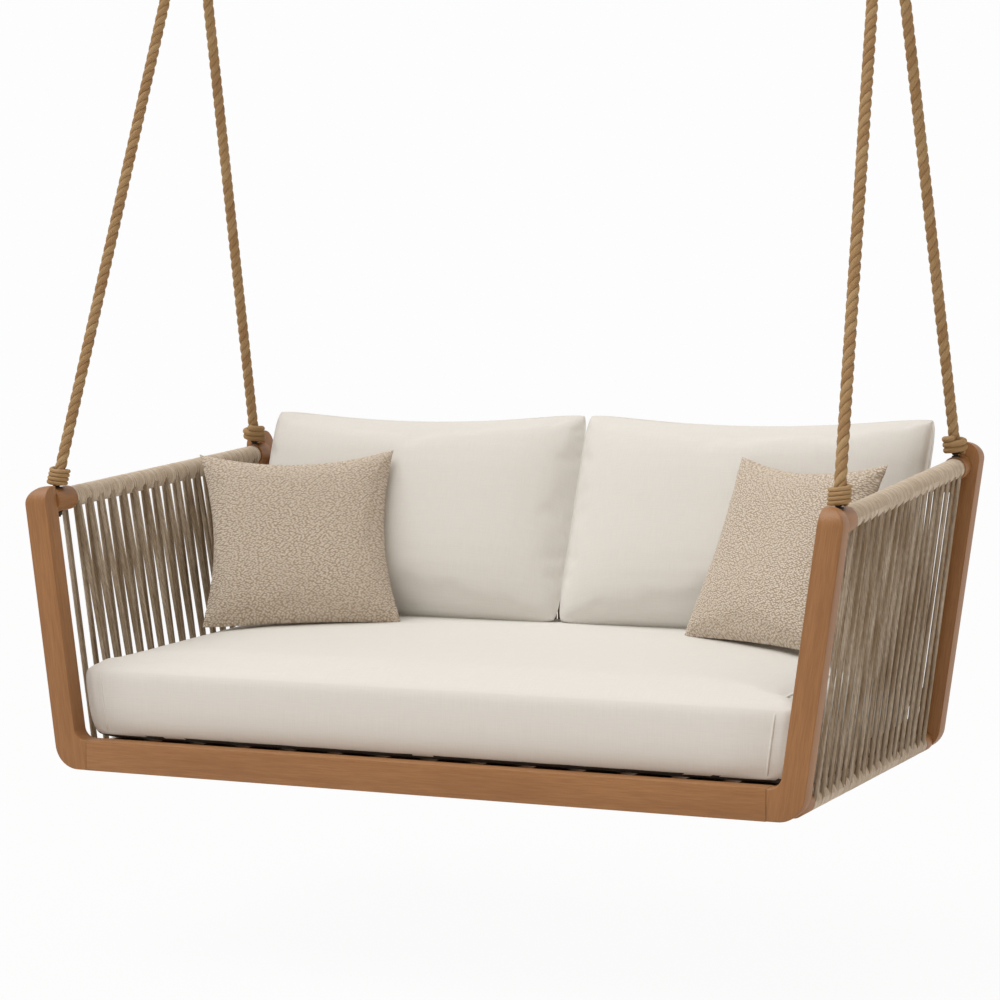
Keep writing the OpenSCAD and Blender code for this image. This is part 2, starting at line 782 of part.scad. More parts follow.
// Centre points with their frames: up the outside, over the upper rail, down the inside one pitch on;
// step holds the pitch along the upper rail and along the lower one
function strand(n, top, low, step, r_top, r_low, stub) = let(
    w_top = unit(step[0]), w_low = unit(step[1]), u = unit(top - low),
    v = cross(w_low, u), u_top = unit(cross(v, w_top)), end = low + step[1] * n)
    concat(
        [[low + stub * u, w_low, v], [low + (stub + strand_w) * u, w_low, v]],
        [for (i = [0:n - 1]) each concat(
            half_turn(top + step[0] * i, u_top, v, w_top, r_top, 0),
            i < n - 1 ? half_turn(low + step[1] * (i + 1), u, v, w_low, r_low, 180) : [])],
        [[end + (stub + strand_w) * u, w_low, -v], [end + stub * u, w_low, -v]]);

module strand_tube(path) {
    n = len(path);
    points = [for (q = path) each ring(q[0], q[1], q[2])];
    walls = [for (i = [0:n - 2], k = [0:5]) let(a = 6 * i + k, b = 6 * i + (k + 1) % 6)
        each [[a, b, b + 6], [a, b + 6, a + 6]]];
    caps = [for (k = [1:4]) each [[0, k + 1, k], [6 * (n - 1), 6 * (n - 1) + k, 6 * (n - 1) + k + 1]]];
    polyhedron(points = points, faces = concat(walls, caps), convexity = 10);
}

// Least distance from the first loop to the next, less a strand's width, on points along both
function along_path(path, parts) = [for (i = [0:len(path) - 2], k = [0:parts - 1])
    path[i][0] + (path[i + 1][0] - path[i][0]) * k / parts];
function least_gap(path) = let(
    a = along_path([for (i = [1:11]) path[i]], 8),
    b = along_path([for (i = [11:21]) path[i]], 8))
    min([for (i = [0:len(a) - 13], j = [12:len(b) - 1]) norm(a[i] - b[j])]) - strand_w;

side_top_at = [rail_x, side_y(0), rail_z(side_y(0))];
side_low_at = [low_x, side_y(0), low_z];
side_strand = strand(side_loops, side_top_at, side_low_at,
    [[0, side_pitch, side_pitch * slope_k], [0, side_pitch, 0]],
    arc_r(core_d), arc_r(low_core_d), low_core_d / 2 + glue_clear);
back_strand = strand(back_loops, [back_x(0), back_y, back_top_z], [back_x(0), back_y, back_low_z],
    [[back_pitch, 0, 0], [back_pitch, 0, 0]],
    arc_r(core_d), arc_r(low_core_d), low_core_d / 2 + glue_clear);
echo(side_cord_least_gap = least_gap(side_strand), back_cord_least_gap = least_gap(back_strand));

module side_cords(s) {
    color(cord_grey) in_bed() on_side(s) strand_tube(side_strand);
}

module back_cords(s) {
    color(cord_grey) in_bed() on_side(s) strand_tube(back_strand);
}

// Sleeves of fine cord between the strands, along Y from a to b
module sleeves(a, b, pitch, count, core, outer) {
    half = strand_w / 2 + rest_gap;
    for (i = [0:count]) {
        y0 = i == 0 ? a : a + pitch * (i - 0.5) + half;
        y1 = i == count ? b : a + pitch * (i + 0.5) - half;
        translate([0, (y0 + y1) / 2, 0]) difference() {
            bar_y(outer, y1 - y0);
            bar_y(core + 2 * glue_clear, y1 - y0 + 2 * e);
        }
    }
}

module side_wraps(s) {
    c = cos(slope);
    color(cord_grey) in_bed() on_side(s) {
        on_rail(depth / 2) translate([0, -depth / 2 / c, 0])
            sleeves(side_a / c, side_b / c, side_pitch / c, side_loops, core_d, wrap_d);
        translate([low_x, 0, low_z])
            sleeves(side_a, side_b, side_pitch, side_loops + 1, low_core_d, low_wrap_d);
    }
}

module back_wraps() {
    top_end = inner_x(back_top_z) - rear_collar_l;
    color(cord_grey) in_bed() for (s = [-1, 1]) on_side(s) {
        translate([0, back_y, back_top_z]) rotate([0, 0, -90])
            sleeves(back_a, top_end, back_pitch, back_loops, core_d, wrap_d);
        translate([0, back_y, back_low_z]) rotate([0, 0, -90])
            sleeves(back_a, back_b, back_pitch, back_loops + 1, low_core_d, low_wrap_d);
    }
}

// ---- seat ----
slat_span = ledger_l - slat_w;
function slat_x(i) = -slat_span / 2 + slat_span * i / (slat_count - 1);
slat_end_gap = 1;
slat_screw_y = post_d + ledger_s / 2;

module seat_ledgers() {
    color(teak) in_bed() for (y = [post_d, depth - post_d - ledger_s]) difference() {
        translate([-ledger_l / 2, y, ledger_z]) cube([ledger_l, ledger_s, ledger_s]);
        slat_screw_set(screw_d + 2 * glue_clear, screw_l + 1);
        ledger_screw_set(post_d + ledger_s, screw_d + 2 * glue_clear, screw_l + 1);
        translate([0, depth, 0]) mirror([0, 1, 0])
            ledger_screw_set(post_d + ledger_s, screw_d + 2 * glue_clear, screw_l + 1);
    }
}

module seat_slats() {
    color(teak) in_bed() difference() {
        for (i = [0:slat_count - 1])
            translate([slat_x(i) - slat_w / 2, post_d + slat_end_gap, slat_z])
                cube([slat_w, depth - 2 * post_d - 2 * slat_end_gap, slat_t]);
        slat_screw_set(screw_d + 2 * glue_clear, screw_l + 1);
    }
}

// Countersunk wood screw, head up at z = 0
module wood_screw(d, l) {
    translate([0, 0, -l]) cylinder(d = d, h = l);
    translate([0, 0, -3]) cylinder(d1 = d, d2 = d + 5, h = 3);
}

module slat_screw_set(d, l) {
    for (i = [0:slat_count - 1], y = [slat_screw_y, depth - slat_screw_y])
        translate([slat_x(i), y, slat_top - rest_gap]) wood_screw(d, l);
}

// Midway between two slats, so that these screws miss the slats' own
function ledger_screw_x(i) = let(k = round(i * (slat_count - 2) / (ledger_screws - 1)))
    (slat_x(k) + slat_x(k + 1)) / 2;

module ledger_screw_set(y, d, l) {
    for (i = [0:ledger_screws - 1])
        translate([ledger_screw_x(i), y - rest_gap, ledger_z + ledger_s / 2])
            rotate([-90, 0, 0]) wood_screw(d, l);
}

module seat_screws() {
    color(steel) in_bed() {
        slat_screw_set(screw_d, screw_l);
        ledger_screw_set(post_d + ledger_s, screw_d, screw_l);
        translate([0, depth, 0]) mirror([0, 1, 0]) ledger_screw_set(post_d + ledger_s, screw_d, screw_l);
    }
}

// ---- cushions ----
function seat_seam(y) = seat_edge_h + seat_rise * (y / seat_len + 0.5);
seat_len = depth - seat_front - seat_rear;
seat_b = seat_len / 2;
seat_n = 11;

// Point of the unit square's outline, t from 0 to 4 going round from +X
function square_at(t) = let(q = floor(t) % 4, f = t - floor(t))
    q == 0 ? [1, 2 * f - 1] : q == 1 ? [1 - 2 * f, 1] : q == 2 ? [-1, 1 - 2 * f] : [2 * f - 1, -1];
// The same point with the corner of a rectangle 2a by 2b rounded by c
function round_at(t, a, b, c) = let(p = square_at(t), x = abs(p[0]) * a, y = abs(p[1]) * b,
    dx = max(0, x - (a - c)), dy = max(0, y - (b - c)), d = norm([dx, dy]),
    k = d > c ? c / d : 1)
    [sign(p[0]) * (x - dx + dx * k), sign(p[1]) * (y - dy + dy * k)];

seat_turns = 56;
seat_corner = 26; // radius of the cushion's upright corners
// Rings from the middle of the underside, round the boxed edge, to the middle of the top:
// share of the outline, share of the seam's height, height above that
seat_rings = concat(
    [for (r = [0.3, 0.7, 0.96]) [r, 0, 0]],
    [[0.984, 0, 4], [0.996, 0, 13], [1.002, 0, 28], [1.005, 0.55, 0], [1.004, 1, -16], [1, 1, 0]],
    [for (r = [0.985, 0.95, 0.88, 0.77, 0.6, 0.4, 0.2]) [r, 1, seat_crown * pow(1 - pow(r, 8), 0.7)]]);

// The two ends lean outwards with the side panels
function seat_ring(g) = [for (i = [0:seat_turns - 1]) let(
    q = round_at(4 * i / seat_turns, seat_half, seat_b, seat_corner) * g[0],
    z = g[1] * seat_seam(q[1]) + g[2])
    [q[0] * (1 + lean_k * min(z, seat_edge_h) / seat_half), q[1], z]];

module tube_of_rings(rings, low, high) {
    m = len(rings[0]);
    n = len(rings);
    faces = concat(
        [for (j = [0:n - 2], i = [0:m - 1]) let(a = j * m + i, b = j * m + (i + 1) % m)
            each [[a, b + m, b], [a, a + m, b + m]]],
        [for (i = [0:m - 1]) [m * n, i, (i + 1) % m]],
        [for (i = [0:m - 1]) [m * n + 1, (n - 1) * m + (i + 1) % m, (n - 1) * m + i]]);
    polyhedron(points = concat([for (r = rings) each r], [low, high]), faces = faces, convexity = 4);
}

module at_seat() {
    in_bed() translate([0, seat_front + seat_b, slat_top + rest_gap]) children();
}

core_wall = 22; // cover and wadding round a foam or fibre core

module seat_core_block(g) {
    translate([-seat_half + 2 * core_wall - g, -seat_b + 2 * core_wall - g, core_wall - g])
        cube([2 * seat_half - 4 * core_wall + 2 * g, seat_len - 4 * core_wall + 2 * g,
            seat_edge_h - 2 * core_wall + 2 * g]);
}

module seat_cushion() {
    color(linen) at_seat() difference() {
        tube_of_rings([for (g = seat_rings) seat_ring(g)], [0, 0, 0], [0, 0, seat_seam(0) + seat_crown]);
        seat_core_block(rest_gap);
    }
}

module seat_core() {
    color("khaki") at_seat() seat_core_block(0);
}

// Knife-edged cushion in its own plane: X across, Z up. bulge: how far its front and rear faces stand from
// that plane; draw: how far its sides, top and foot are drawn in; pinch: how much its outer foot is
// squeezed in
grid_n = 16;
function spread(t) = sin(90 * t);
function cushion_at(u, v, w, h, y, draw, pinch) = let(
    x = w / 2 * u - draw[0] * (1 - v * v) * pow(u, 3) - pinch * (1 - v) * (1 + u) / 4,
    z = h / 2 * v - draw[v > 0 ? 1 : 2] * (1 - u * u) * pow(v, 3),
    full = pow(max(0, (1 - pow(abs(u), 3)) * (1 - pow(abs(v), 3))), 0.55))
    [x, y * full, z];

module knife_edged(w, h, bulge, draw, pinch) {
    n = grid_n;
    m = n + 1;
    grid = [for (y = [bulge[1], -bulge[0]], j = [0:n], i = [0:n])
        cushion_at(spread(2 * i / n - 1), spread(2 * j / n - 1), w, h, y, draw, pinch)];
    // The two faces share the points of the outline
    function at(f, i, j) = (i == 0 || j == 0 || i == n || j == n ? 0 : f * m * m) + j * m + i;
    // Each cell is split from the middle of the face outwards, so no triangle lies wholly on the outline
    faces = [for (f = [0, 1], j = [0:n - 1], i = [0:n - 1]) let(
        a = at(f, i, j), b = at(f, i + 1, j), c = at(f, i + 1, j + 1), d = at(f, i, j + 1),
        cut = (i < n / 2) == (j < n / 2) ? [[a, b, c], [a, c, d]] : [[a, b, d], [b, c, d]])
        each (f == 0 ? cut : [for (t = cut) [t[2], t[1], t[0]]])];
    polyhedron(points = grid, faces = faces, convexity = 4);
}

back_gap = 2; // between the two back cushions
back_base = 281.2; // height of the back cushions' lower corners above the bed's underside
back_foot = 812; // distance of their lower edge from the front face
back_flat = 0.44; // share of their thickness behind the plane of their seams
back_draw = [4, 30, 4];
back_pinch = 20;
core_share = 0.6; // size of a back cushion's core within its cover

module at_back(s) {
    in_bed() on_side(s) translate([(back_w + back_gap) / 2, back_foot, back_base])
        rotate([-back_lean, 0, 0]) translate([0, 0, back_h / 2]) children();
}

module back_core_box(g) {
    translate([0, -back_t * (0.5 - back_flat), 0])
        cube([back_w * core_share + 2 * g, back_t * 0.45 + 2 * g, back_h * core_share + 2 * g],
            center = true);
}

module back_cushion(s) {
    color(linen) at_back(s) difference() {
        knife_edged(back_w, back_h, back_t * [1 - back_flat, back_flat], back_draw, back_pinch);
        back_core_box(rest_gap);
    }
}

module back_core(s) {
    color("khaki") at_back(s) back_core_box(0);
}

// Where the middle of a pillow's lower edge lies, from the middle, the front face and the underside
pillow_at = [[563, 588.6, 273.5], [566, 586.6, 278]]; // left, right
pillow_roll = [1.1, 0]; // turn in their own plane
pillow_draw = [34, 36, 8];

module pillow(s) {
    color(boucle) in_bed() on_side(s) translate(pillow_at[s < 0 ? 0 : 1])
        rotate([0, 0, -pillow_turn]) rotate([-pillow_lean, pillow_roll[s < 0 ? 0 : 1], 0])
            translate([0, 0, pillow_h / 2])
                knife_edged(pillow_w, pillow_h, pillow_t / 2 * [1, 1], pillow_draw, 0);
}

ceiling_plate(-1);  // ceiling_plate_left
ceiling_plate(1);  // ceiling_plate_right
swing_pins();
swing_bush(-1);  // swing_bush_left
swing_bush(1);  // swing_bush_right
hanger(-1);  // hanger_left
hanger(1);  // hanger_right
sway_pin(-1);  // sway_pin_left
sway_pin(1);  // sway_pin_right
yoke(-1);  // yoke_left
yoke(1);  // yoke_right
thimble(-1);  // thimble_left
thimble(1);  // thimble_right
thimble_pin(-1);  // thimble_pin_left
thimble_pin(1);  // thimble_pin_right
rope(-1);  // rope_left
rope(1);  // rope_right
rope_collar(-1);  // rope_collar_left
rope_collar(1);  // rope_collar_right
rope_knot(-1);  // rope_knot_left
rope_knot(1);  // rope_knot_right
rope_terminals(-1);  // rope_terminals_left
rope_terminals(1);  // rope_terminals_right
end_pins(-1);  // end_pins_left
end_pins(1);  // end_pins_right
eyebolts();
eyebolt_nuts();
front_post(-1);  // front_post_left
front_post(1);  // front_post_right
rear_post(-1);  // rear_post_left
rear_post(1);  // rear_post_right
front_rail();
rear_rail();
corner_dowels();
side_top_rail(-1);  // side_top_rail_left
side_top_rail(1);  // side_top_rail_right
side_low_rail(-1);  // side_low_rail_left
side_low_rail(1);  // side_low_rail_right
side_wraps(-1);  // side_wraps_left
side_wraps(1);  // side_wraps_right
side_cords(-1);  // side_cords_left
side_cords(1);  // side_cords_right
back_top_rail();
back_low_rails();
back_stile();
back_wraps();
back_cords(-1);  // back_cords_left
back_cords(1);  // back_cords_right
seat_ledgers();
seat_slats();
seat_screws();
seat_cushion();
seat_core();
back_cushion(-1);  // back_cushion_left
back_cushion(1);  // back_cushion_right
back_core(-1);  // back_core_left
back_core(1);  // back_core_right
pillow(-1);  // pillow_left
pillow(1);  // pillow_right
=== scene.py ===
import math
import random
import bpy
import bmesh
import numpy as np
from mathutils import Matrix, Vector, noise
from mathutils.bvhtree import BVHTree


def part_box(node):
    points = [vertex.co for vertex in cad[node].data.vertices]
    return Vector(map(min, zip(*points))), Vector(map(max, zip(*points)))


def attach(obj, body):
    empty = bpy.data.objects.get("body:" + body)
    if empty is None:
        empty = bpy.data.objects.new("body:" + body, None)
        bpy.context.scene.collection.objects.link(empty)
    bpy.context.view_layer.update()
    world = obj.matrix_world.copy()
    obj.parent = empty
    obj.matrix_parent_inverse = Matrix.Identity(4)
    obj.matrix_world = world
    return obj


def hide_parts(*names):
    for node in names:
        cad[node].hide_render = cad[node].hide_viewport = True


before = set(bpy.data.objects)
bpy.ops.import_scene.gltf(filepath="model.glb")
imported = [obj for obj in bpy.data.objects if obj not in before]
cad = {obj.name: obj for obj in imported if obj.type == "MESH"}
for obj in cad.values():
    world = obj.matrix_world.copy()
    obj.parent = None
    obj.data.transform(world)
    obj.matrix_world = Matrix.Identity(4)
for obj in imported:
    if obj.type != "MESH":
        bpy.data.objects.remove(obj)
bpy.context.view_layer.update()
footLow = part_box("front_rail")[0]
bedOrigin = Vector((0, footLow.y, footLow.z))  # middle of the bed's front foot: every size below is measured from it
print("frame loaded")


def atBed(x, y, z):
    return bedOrigin + Vector((x, y, z))


# ---- camera ----
photoView = {"place": (2.469, -5.074, 0.959), "turn": (86.56, 0, 23.96), "lens": 97.46}
bpy.ops.object.camera_add(location=atBed(*photoView["place"]), rotation=[math.radians(a) for a in photoView["turn"]])
camera = bpy.context.object
camera.name = "photoCamera"
camera.data.lens = photoView["lens"]
camera.data.sensor_width = 36
camera.data.clip_end = 60
bpy.context.scene.camera = camera


# ---- small tools ----
def hexColour(code):
    parts = [int(code[i:i + 2], 16) / 255 for i in (0, 2, 4)]
    return [c / 12.92 if c <= 0.04045 else ((c + 0.055) / 1.055) ** 2.4 for c in parts] + [1.0]


def addNode(tree, kind, values={}, links={}):
    node = tree.nodes.new(kind)
    for key, value in values.items():
        if isinstance(key, int) or key in node.inputs:
            node.inputs[key].default_value = value
        else:
            setattr(node, key, value)
    for key, socket in links.items():
        tree.links.new(socket, node.inputs[key])
    return node


def newMaterial(name):
    material = bpy.data.materials.new(name)
    material.use_nodes = True
    tree = material.node_tree
    tree.nodes.clear()
    shader = addNode(tree, "ShaderNodeBsdfPrincipled")
    addNode(tree, "ShaderNodeOutputMaterial", links={"Surface": shader.outputs[0]})
    return material, tree, shader


def finishShader(tree, shader, colour, bump, values):
    tree.links.new(colour.outputs[2], shader.inputs["Base Color"])
    tree.links.new(bump.outputs[0], shader.inputs["Normal"])
    for key, value in values.items():
        shader.inputs[key].default_value = value


def deselectAll():
    if bpy.context.object and bpy.context.object.mode != "OBJECT":
        bpy.ops.object.mode_set(mode="OBJECT")
    bpy.ops.object.select_all(action="DESELECT")


def pick(piece):
    deselectAll()
    piece.select_set(True)
    bpy.context.view_layer.objects.active = piece


def useMaterial(piece, material):
    piece.data.materials.clear()
    piece.data.materials.append(material)


def dress(piece, material, body, node):
    useMaterial(piece, material)
    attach(piece, body)
    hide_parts(node)


def smoothShade(piece, angle):
    pick(piece)
    bpy.ops.object.shade_smooth_by_angle(angle=math.radians(angle))


def meshPiece(name, points, faces, uv=None):
    mesh = bpy.data.meshes.new(name)
    mesh.from_pydata([tuple(p) for p in points], [], faces)
    if uv is not None:
        layer = mesh.uv_layers.new(name="UVMap")
        layer.data.foreach_set("uv", np.asarray(uv, np.float32).ravel())
    mesh.update()
    piece = bpy.data.objects.new(name, mesh)
    bpy.context.scene.collection.objects.link(piece)
    return piece


def sweep(name, runs, sides, closed=False):
    # Each run is (points, width directions, width, depth); the UV map holds metres along and round the cord
    allPoints, allFaces, allUv = [], [], []
    for points, guides, width, depth in runs:
        p = np.array([tuple(q) for q in points], float)
        g = np.array([tuple(q) for q in guides], float)
        count = len(p)
        if closed:
            ahead, behind = np.roll(p, -1, 0), np.roll(p, 1, 0)
        else:
            ahead = np.vstack([p[1:], p[-1:]])
            behind = np.vstack([p[:1], p[:-1]])
        t = ahead - behind
        t /= np.linalg.norm(t, axis=1)[:, None]
        g = g - (g * t).sum(1)[:, None] * t
        g /= np.linalg.norm(g, axis=1)[:, None]
        n = np.cross(t, g)
        angles = np.arange(sides) * 2 * math.pi / sides
        wide = np.atleast_1d(width) * np.ones(count) / 2
        deep = np.atleast_1d(depth) * np.ones(count) / 2
        rings = (p[:, None] + np.cos(angles)[None, :, None] * (g * wide[:, None])[:, None]
                 + np.sin(angles)[None, :, None] * (n * deep[:, None])[:, None])
        start = len(allPoints)
        allPoints.extend(rings.reshape(-1, 3))
        steps = np.linalg.norm(ahead - p, axis=1)
        # each run has a tone of its own
        along = np.concatenate([[0], np.cumsum(steps)]) + 0.37 * (start // (count * sides) % 50)
        around = math.pi * (wide.mean() + deep.mean()) * np.arange(sides + 1) / sides
        for i in range(count if closed else count - 1):
            j = (i + 1) % count
            for k in range(sides):
                m = (k + 1) % sides
                allFaces.append((start + i * sides + k, start + i * sides + m, start + j * sides + m,
                        start + j * sides + k))
                allUv.extend([(along[i], around[k]), (along[i], around[k + 1]), (along[i + 1], around[k + 1]),
                        (along[i + 1], around[k])])
        if not closed:
            allFaces.append(tuple(start + k for k in reversed(range(sides))))
            allFaces.append(tuple(start + (count - 1) * sides + k for k in range(sides)))
            allUv.extend([(0, 0)] * sides + [(along[count - 1], 0)] * sides)
    piece = meshPiece(name, allPoints, allFaces, allUv)
    piece.data.polygons.foreach_set("use_smooth", [True] * len(allFaces))
    return piece


# ---- ropes: the route over the thimble, as in the construction ----
hanging = {"hookX": 0.848, "swayZ": -0.098, "railX": 0.912, "ropeY": (0.083, 0.994), "eyeRise": 0.0375,
           "linkLength": 0.075, "bendRadius": 0.033, "endGap": 0.016}
topRail = {"front": 0.592, "rear": 0.663, "from": 0.048, "to": 1.029}
slopeTan = (topRail["rear"] - topRail["front"]) / (topRail["to"] - topRail["from"])
slope = math.atan(slopeTan)


def railHeight(y):
    return topRail["front"] + slopeTan * (y - topRail["from"])


def eyePoint(y):
    return atBed(hanging["railX"], y - math.sin(slope) * hanging["eyeRise"],
                 railHeight(y) + math.cos(slope) * hanging["eyeRise"])


swayPoint = Vector((hanging["hookX"], 0, hanging["swayZ"]))
eyes = [eyePoint(y) for y in hanging["ropeY"]]


def alongPivot(p):
    return (p.y - swayPoint.y) * math.cos(slope) + (p.z - swayPoint.z) * math.sin(slope)


def belowPivot(p):
    return (p.y - swayPoint.y) * math.sin(slope) - (p.z - swayPoint.z) * math.cos(slope)


fallTilt = math.atan((hanging["railX"] - hanging["hookX"]) / belowPivot(eyes[0]))
fallLength = belowPivot(eyes[0]) / math.cos(fallTilt)
fallMatrix = (Matrix.Translation(swayPoint) @ Matrix.Rotation(slope, 4, "X") @ Matrix.Rotation(-fallTilt, 4, "Y"))


def fallPoint(side, x, a, b):
    # a runs along the sloping pivot axis, b up the falls, from the sway pin
    p = fallMatrix @ Vector((x, a, b))
    return Vector((side * p.x, p.y, p.z))


def fallDirection(side, x, a, b):
    p = fallMatrix.to_3x3() @ Vector((x, a, b))
    return Vector((side * p.x, p.y, p.z))


thimble = np.array([-hanging["linkLength"] * math.sin(slope), -hanging["linkLength"] * math.cos(slope)])
ends = [np.array([alongPivot(e), -fallLength]) for e in eyes]


def legAngle(end, sign):
    ray = end - thimble
    return math.atan2(ray[1], ray[0]) - sign * math.acos(hanging["bendRadius"] / np.linalg.norm(ray))


legAngles = [legAngle(ends[0], 1), legAngle(ends[1], -1)]
tangents = [thimble + hanging["bendRadius"] * np.array([math.cos(a), math.sin(a)]) for a in legAngles]
legs = [(tangents[i] - ends[i]) / np.linalg.norm(tangents[i] - ends[i]) for i in (0, 1)]


def ropeRoute(step):
    # Points of one fall plane, from the front end over the thimble to the rear end
    start, stop = ends[0] + hanging["endGap"] * legs[0], ends[1] + hanging["endGap"] * legs[1]
    route = []
    count = int(np.linalg.norm(tangents[0] - start) / step)
    route += [start + (tangents[0] - start) * i / count for i in range(count)]
    turn = (legAngles[0] - legAngles[1]) % (2 * math.pi)
    count = max(8, int(turn * hanging["bendRadius"] / step))
    route += [thimble + hanging["bendRadius"] * np.array([math.cos(legAngles[0] - turn * i / count),
                                                          math.sin(legAngles[0] - turn * i / count)]) for i in range(count)]
    count = int(np.linalg.norm(tangents[1] - stop) / step)
    route += [tangents[1] + (stop - tangents[1]) * i / count for i in range(count + 1)]
    return route


ropeLook = {"diameter": 0.026, "strand": (0.0118, 0.0146), "centre": 0.0071, "lay": 0.072, "step": 0.0036,
        "sides": 12}


def makeRope(side, name):
    route = ropeRoute(ropeLook["step"])
    points = [fallPoint(side, 0, p[0], p[1]) for p in route]
    normal = fallDirection(side, 1, 0, 0) * side  # the fall plane's normal, the same way round on both sides
    lengths = [0]
    for i in range(1, len(points)):
        lengths.append(lengths[-1] + (points[i] - points[i - 1]).length)
    tangent = [(points[min(i + 1, len(points) - 1)] - points[max(i - 1, 0)]).normalized() for i in range(len(points))]
    runs = []
    for k in range(3):
        centre, guide = [], []
        for p, t, s in zip(points, tangent, lengths):
            phase = 2 * math.pi * (s / ropeLook["lay"] + k / 3)
            out = normal * math.cos(phase) + t.cross(normal) * math.sin(phase)
            centre.append(p + out * ropeLook["centre"])
            guide.append(out)
        runs.append((centre, guide, *ropeLook["strand"]))
    piece = sweep(name, runs, ropeLook["sides"])
    total = lengths[-1]
    path = [fallPoint(side, 0, p[0], p[1]) for p in ropeRoute(0.006)]
    # few points on the straight legs, all of them round the thimble
    kept = [p for i, p in enumerate(path) if i % 24 == 0 or abs(p.z - (swayPoint.z - 0.075)) < 0.05 or i == len(path) - 1]
    return piece, kept, total


def twistedFibre(name, dark, middle, light, pitch, lean, roughness, depth=0.5):
    # Yarns laid side by side, slightly fuzzy, with painted shade in the hollows between them and a mottled tone along
    # the cord
    material, tree, shader = newMaterial(name)
    uv = addNode(tree, "ShaderNodeUVMap", {"uv_map": "UVMap"})
    turned = addNode(tree, "ShaderNodeMapping", {"Rotation": (0, 0, math.radians(lean))}, {"Vector": uv.outputs[0]})
    ridges = addNode(tree, "ShaderNodeTexWave",
            {"Scale": 0.314 / pitch, "Distortion": 1.5, "Detail": 2.0, "Detail Scale": 1.5,
                                                 "bands_direction": "Y"}, {"Vector": turned.outputs[0]})
    stretch = addNode(tree, "ShaderNodeMapping", {"Scale": (45, 700, 45)}, {"Vector": turned.outputs[0]})
    fuzz = addNode(tree, "ShaderNodeTexNoise", {"Scale": 1.0, "Detail": 3.0}, {"Vector": stretch.outputs[0]})
    length = addNode(tree, "ShaderNodeMapping", {"Scale": (3.5, 0.0, 0.0)}, {"Vector": uv.outputs[0]})
    blotch = addNode(tree, "ShaderNodeTexNoise", {"Scale": 1.0, "Detail": 3.0}, {"Vector": length.outputs[0]})
    blotchShare = addNode(tree, "ShaderNodeMapRange", {"From Min": 0.4, "From Max": 0.6},
            {"Value": blotch.outputs["Fac"]})
    tone = addNode(tree, "ShaderNodeMix", {"data_type": "RGBA", 6: hexColour(middle), 7: hexColour(light)},
            {0: blotchShare.outputs[0]})
    fuzzShare = addNode(tree, "ShaderNodeMapRange",
            {"From Min": 0.34, "From Max": 0.66, "To Min": 0.0, "To Max": depth}, {"Value": fuzz.outputs["Fac"]})
    streaked = addNode(tree, "ShaderNodeMix", {"data_type": "RGBA", 7: hexColour(dark)},
            {0: fuzzShare.outputs[0], 6: tone.outputs[2]})
    # painted shade: the dark colour fills the hollows between the yarns
    hollowShadeShare = addNode(tree, "ShaderNodeMapRange",
            {"From Min": 0.0, "From Max": 0.5, "To Min": depth, "To Max": 0.0}, {"Value": ridges.outputs["Fac"]})
    final = addNode(tree, "ShaderNodeMix", {"data_type": "RGBA", 7: hexColour(dark)},
            {0: hollowShadeShare.outputs[0], 6: streaked.outputs[2]})
    height = addNode(tree, "ShaderNodeMath", {"operation": "ADD"}, {0: ridges.outputs["Fac"], 1: fuzz.outputs["Fac"]})
    bump = addNode(tree, "ShaderNodeBump", {"Strength": 0.5, "Distance": 0.0008}, {"Height": height.outputs[0]})
    finishShader(tree, shader, final, bump, {"Roughness": roughness, "Specular IOR Level": 0.25})
    return material


# pale yarns, with painted brown shade between them
manilaRope = twistedFibre("twistedManila", "7F5F3B", "AB8860", "BFA278", 0.0024, 20, 0.85, 0.4)
# the same fibre in a thin cord
manilaCord = twistedFibre("manilaWhipping", "7E5F3C", "AC8A5E", "BEA078", 0.0024, 24, 0.85, 0.4)
# matt taupe, streaked along its length; its darker tone than the wraps' copy is painted shade
panelCordShaded = twistedFibre("braidedPolyesterShaded", "5E4C39", "A08B70", "DCCDB8", 0.0030, 8, 0.75, 0.55)
# the same cord, lying closer; its lighter tone is painted light
wrapCordLit = twistedFibre("woundPolyesterLit", "95826C", "CDBDA8", "E8DCCC", 0.0032, 8, 0.78, 0.35)


for side, word in ((-1, "left"), (1, "right")):
    piece, path, total = makeRope(side, "rope_" + word + "_twisted")
    dress(piece, manilaRope, "ropes_" + word, "rope_" + word)
print("ropes laid:", round(total, 4), "m each,", len(path), "route points")

# Whipping round the front rope ends and the heavier knots at the rear
collarLook = {"cord": 0.0092, "outer": 0.049, "turns": 4, "first": -0.0036, "pitch": 0.0086}
knotLook = {"cord": 0.0145, "outer": 0.057, "turns": 2.7, "first": -0.001, "pitch": 0.0128}


def windingRun(side, end, leg, look):
    lead = leg[0] / leg[1]
    radius = (look["outer"] - look["cord"]) / 2
    steps = int(look["turns"] * 28)
    points, guides = [], []
    for i in range(steps + 1):
        angle = 2 * math.pi * i / 28 + 0.6
        share = i / steps
        h = look["first"] + look["pitch"] * look["turns"] * share
        r = radius * (0.62 if i in (0, steps) else 0.85 if i in (1, steps - 1) else 1)  # both ends tuck in
        out = Vector((math.cos(angle), math.sin(angle), 0))
        points.append(fallPoint(side, out.x * r, end[0] + lead * h + out.y * r, end[1] + h))
        guides.append(fallDirection(side, out.x, out.y, 0))
    return (points, guides, look["cord"], look["cord"])


for side, word in ((-1, "left"), (1, "right")):
    collar = sweep("rope_collar_" + word + "_wound", [windingRun(side, ends[0], legs[0], collarLook)], 12)
    knot = sweep("rope_knot_" + word + "_wound", [windingRun(side, ends[1], legs[1], knotLook)], 14)
    for piece, node in ((collar, "rope_collar_"), (knot, "rope_knot_")):
        dress(piece, manilaCord, "ropes_" + word, node + word)
print("rope ends bound")

# ---- timber ----
timberLook = {"edge": 0.0045, "joint": 0.791, "slatEdge": 0.002, "turnedEdge": 0.0015, "lean": 7.81}


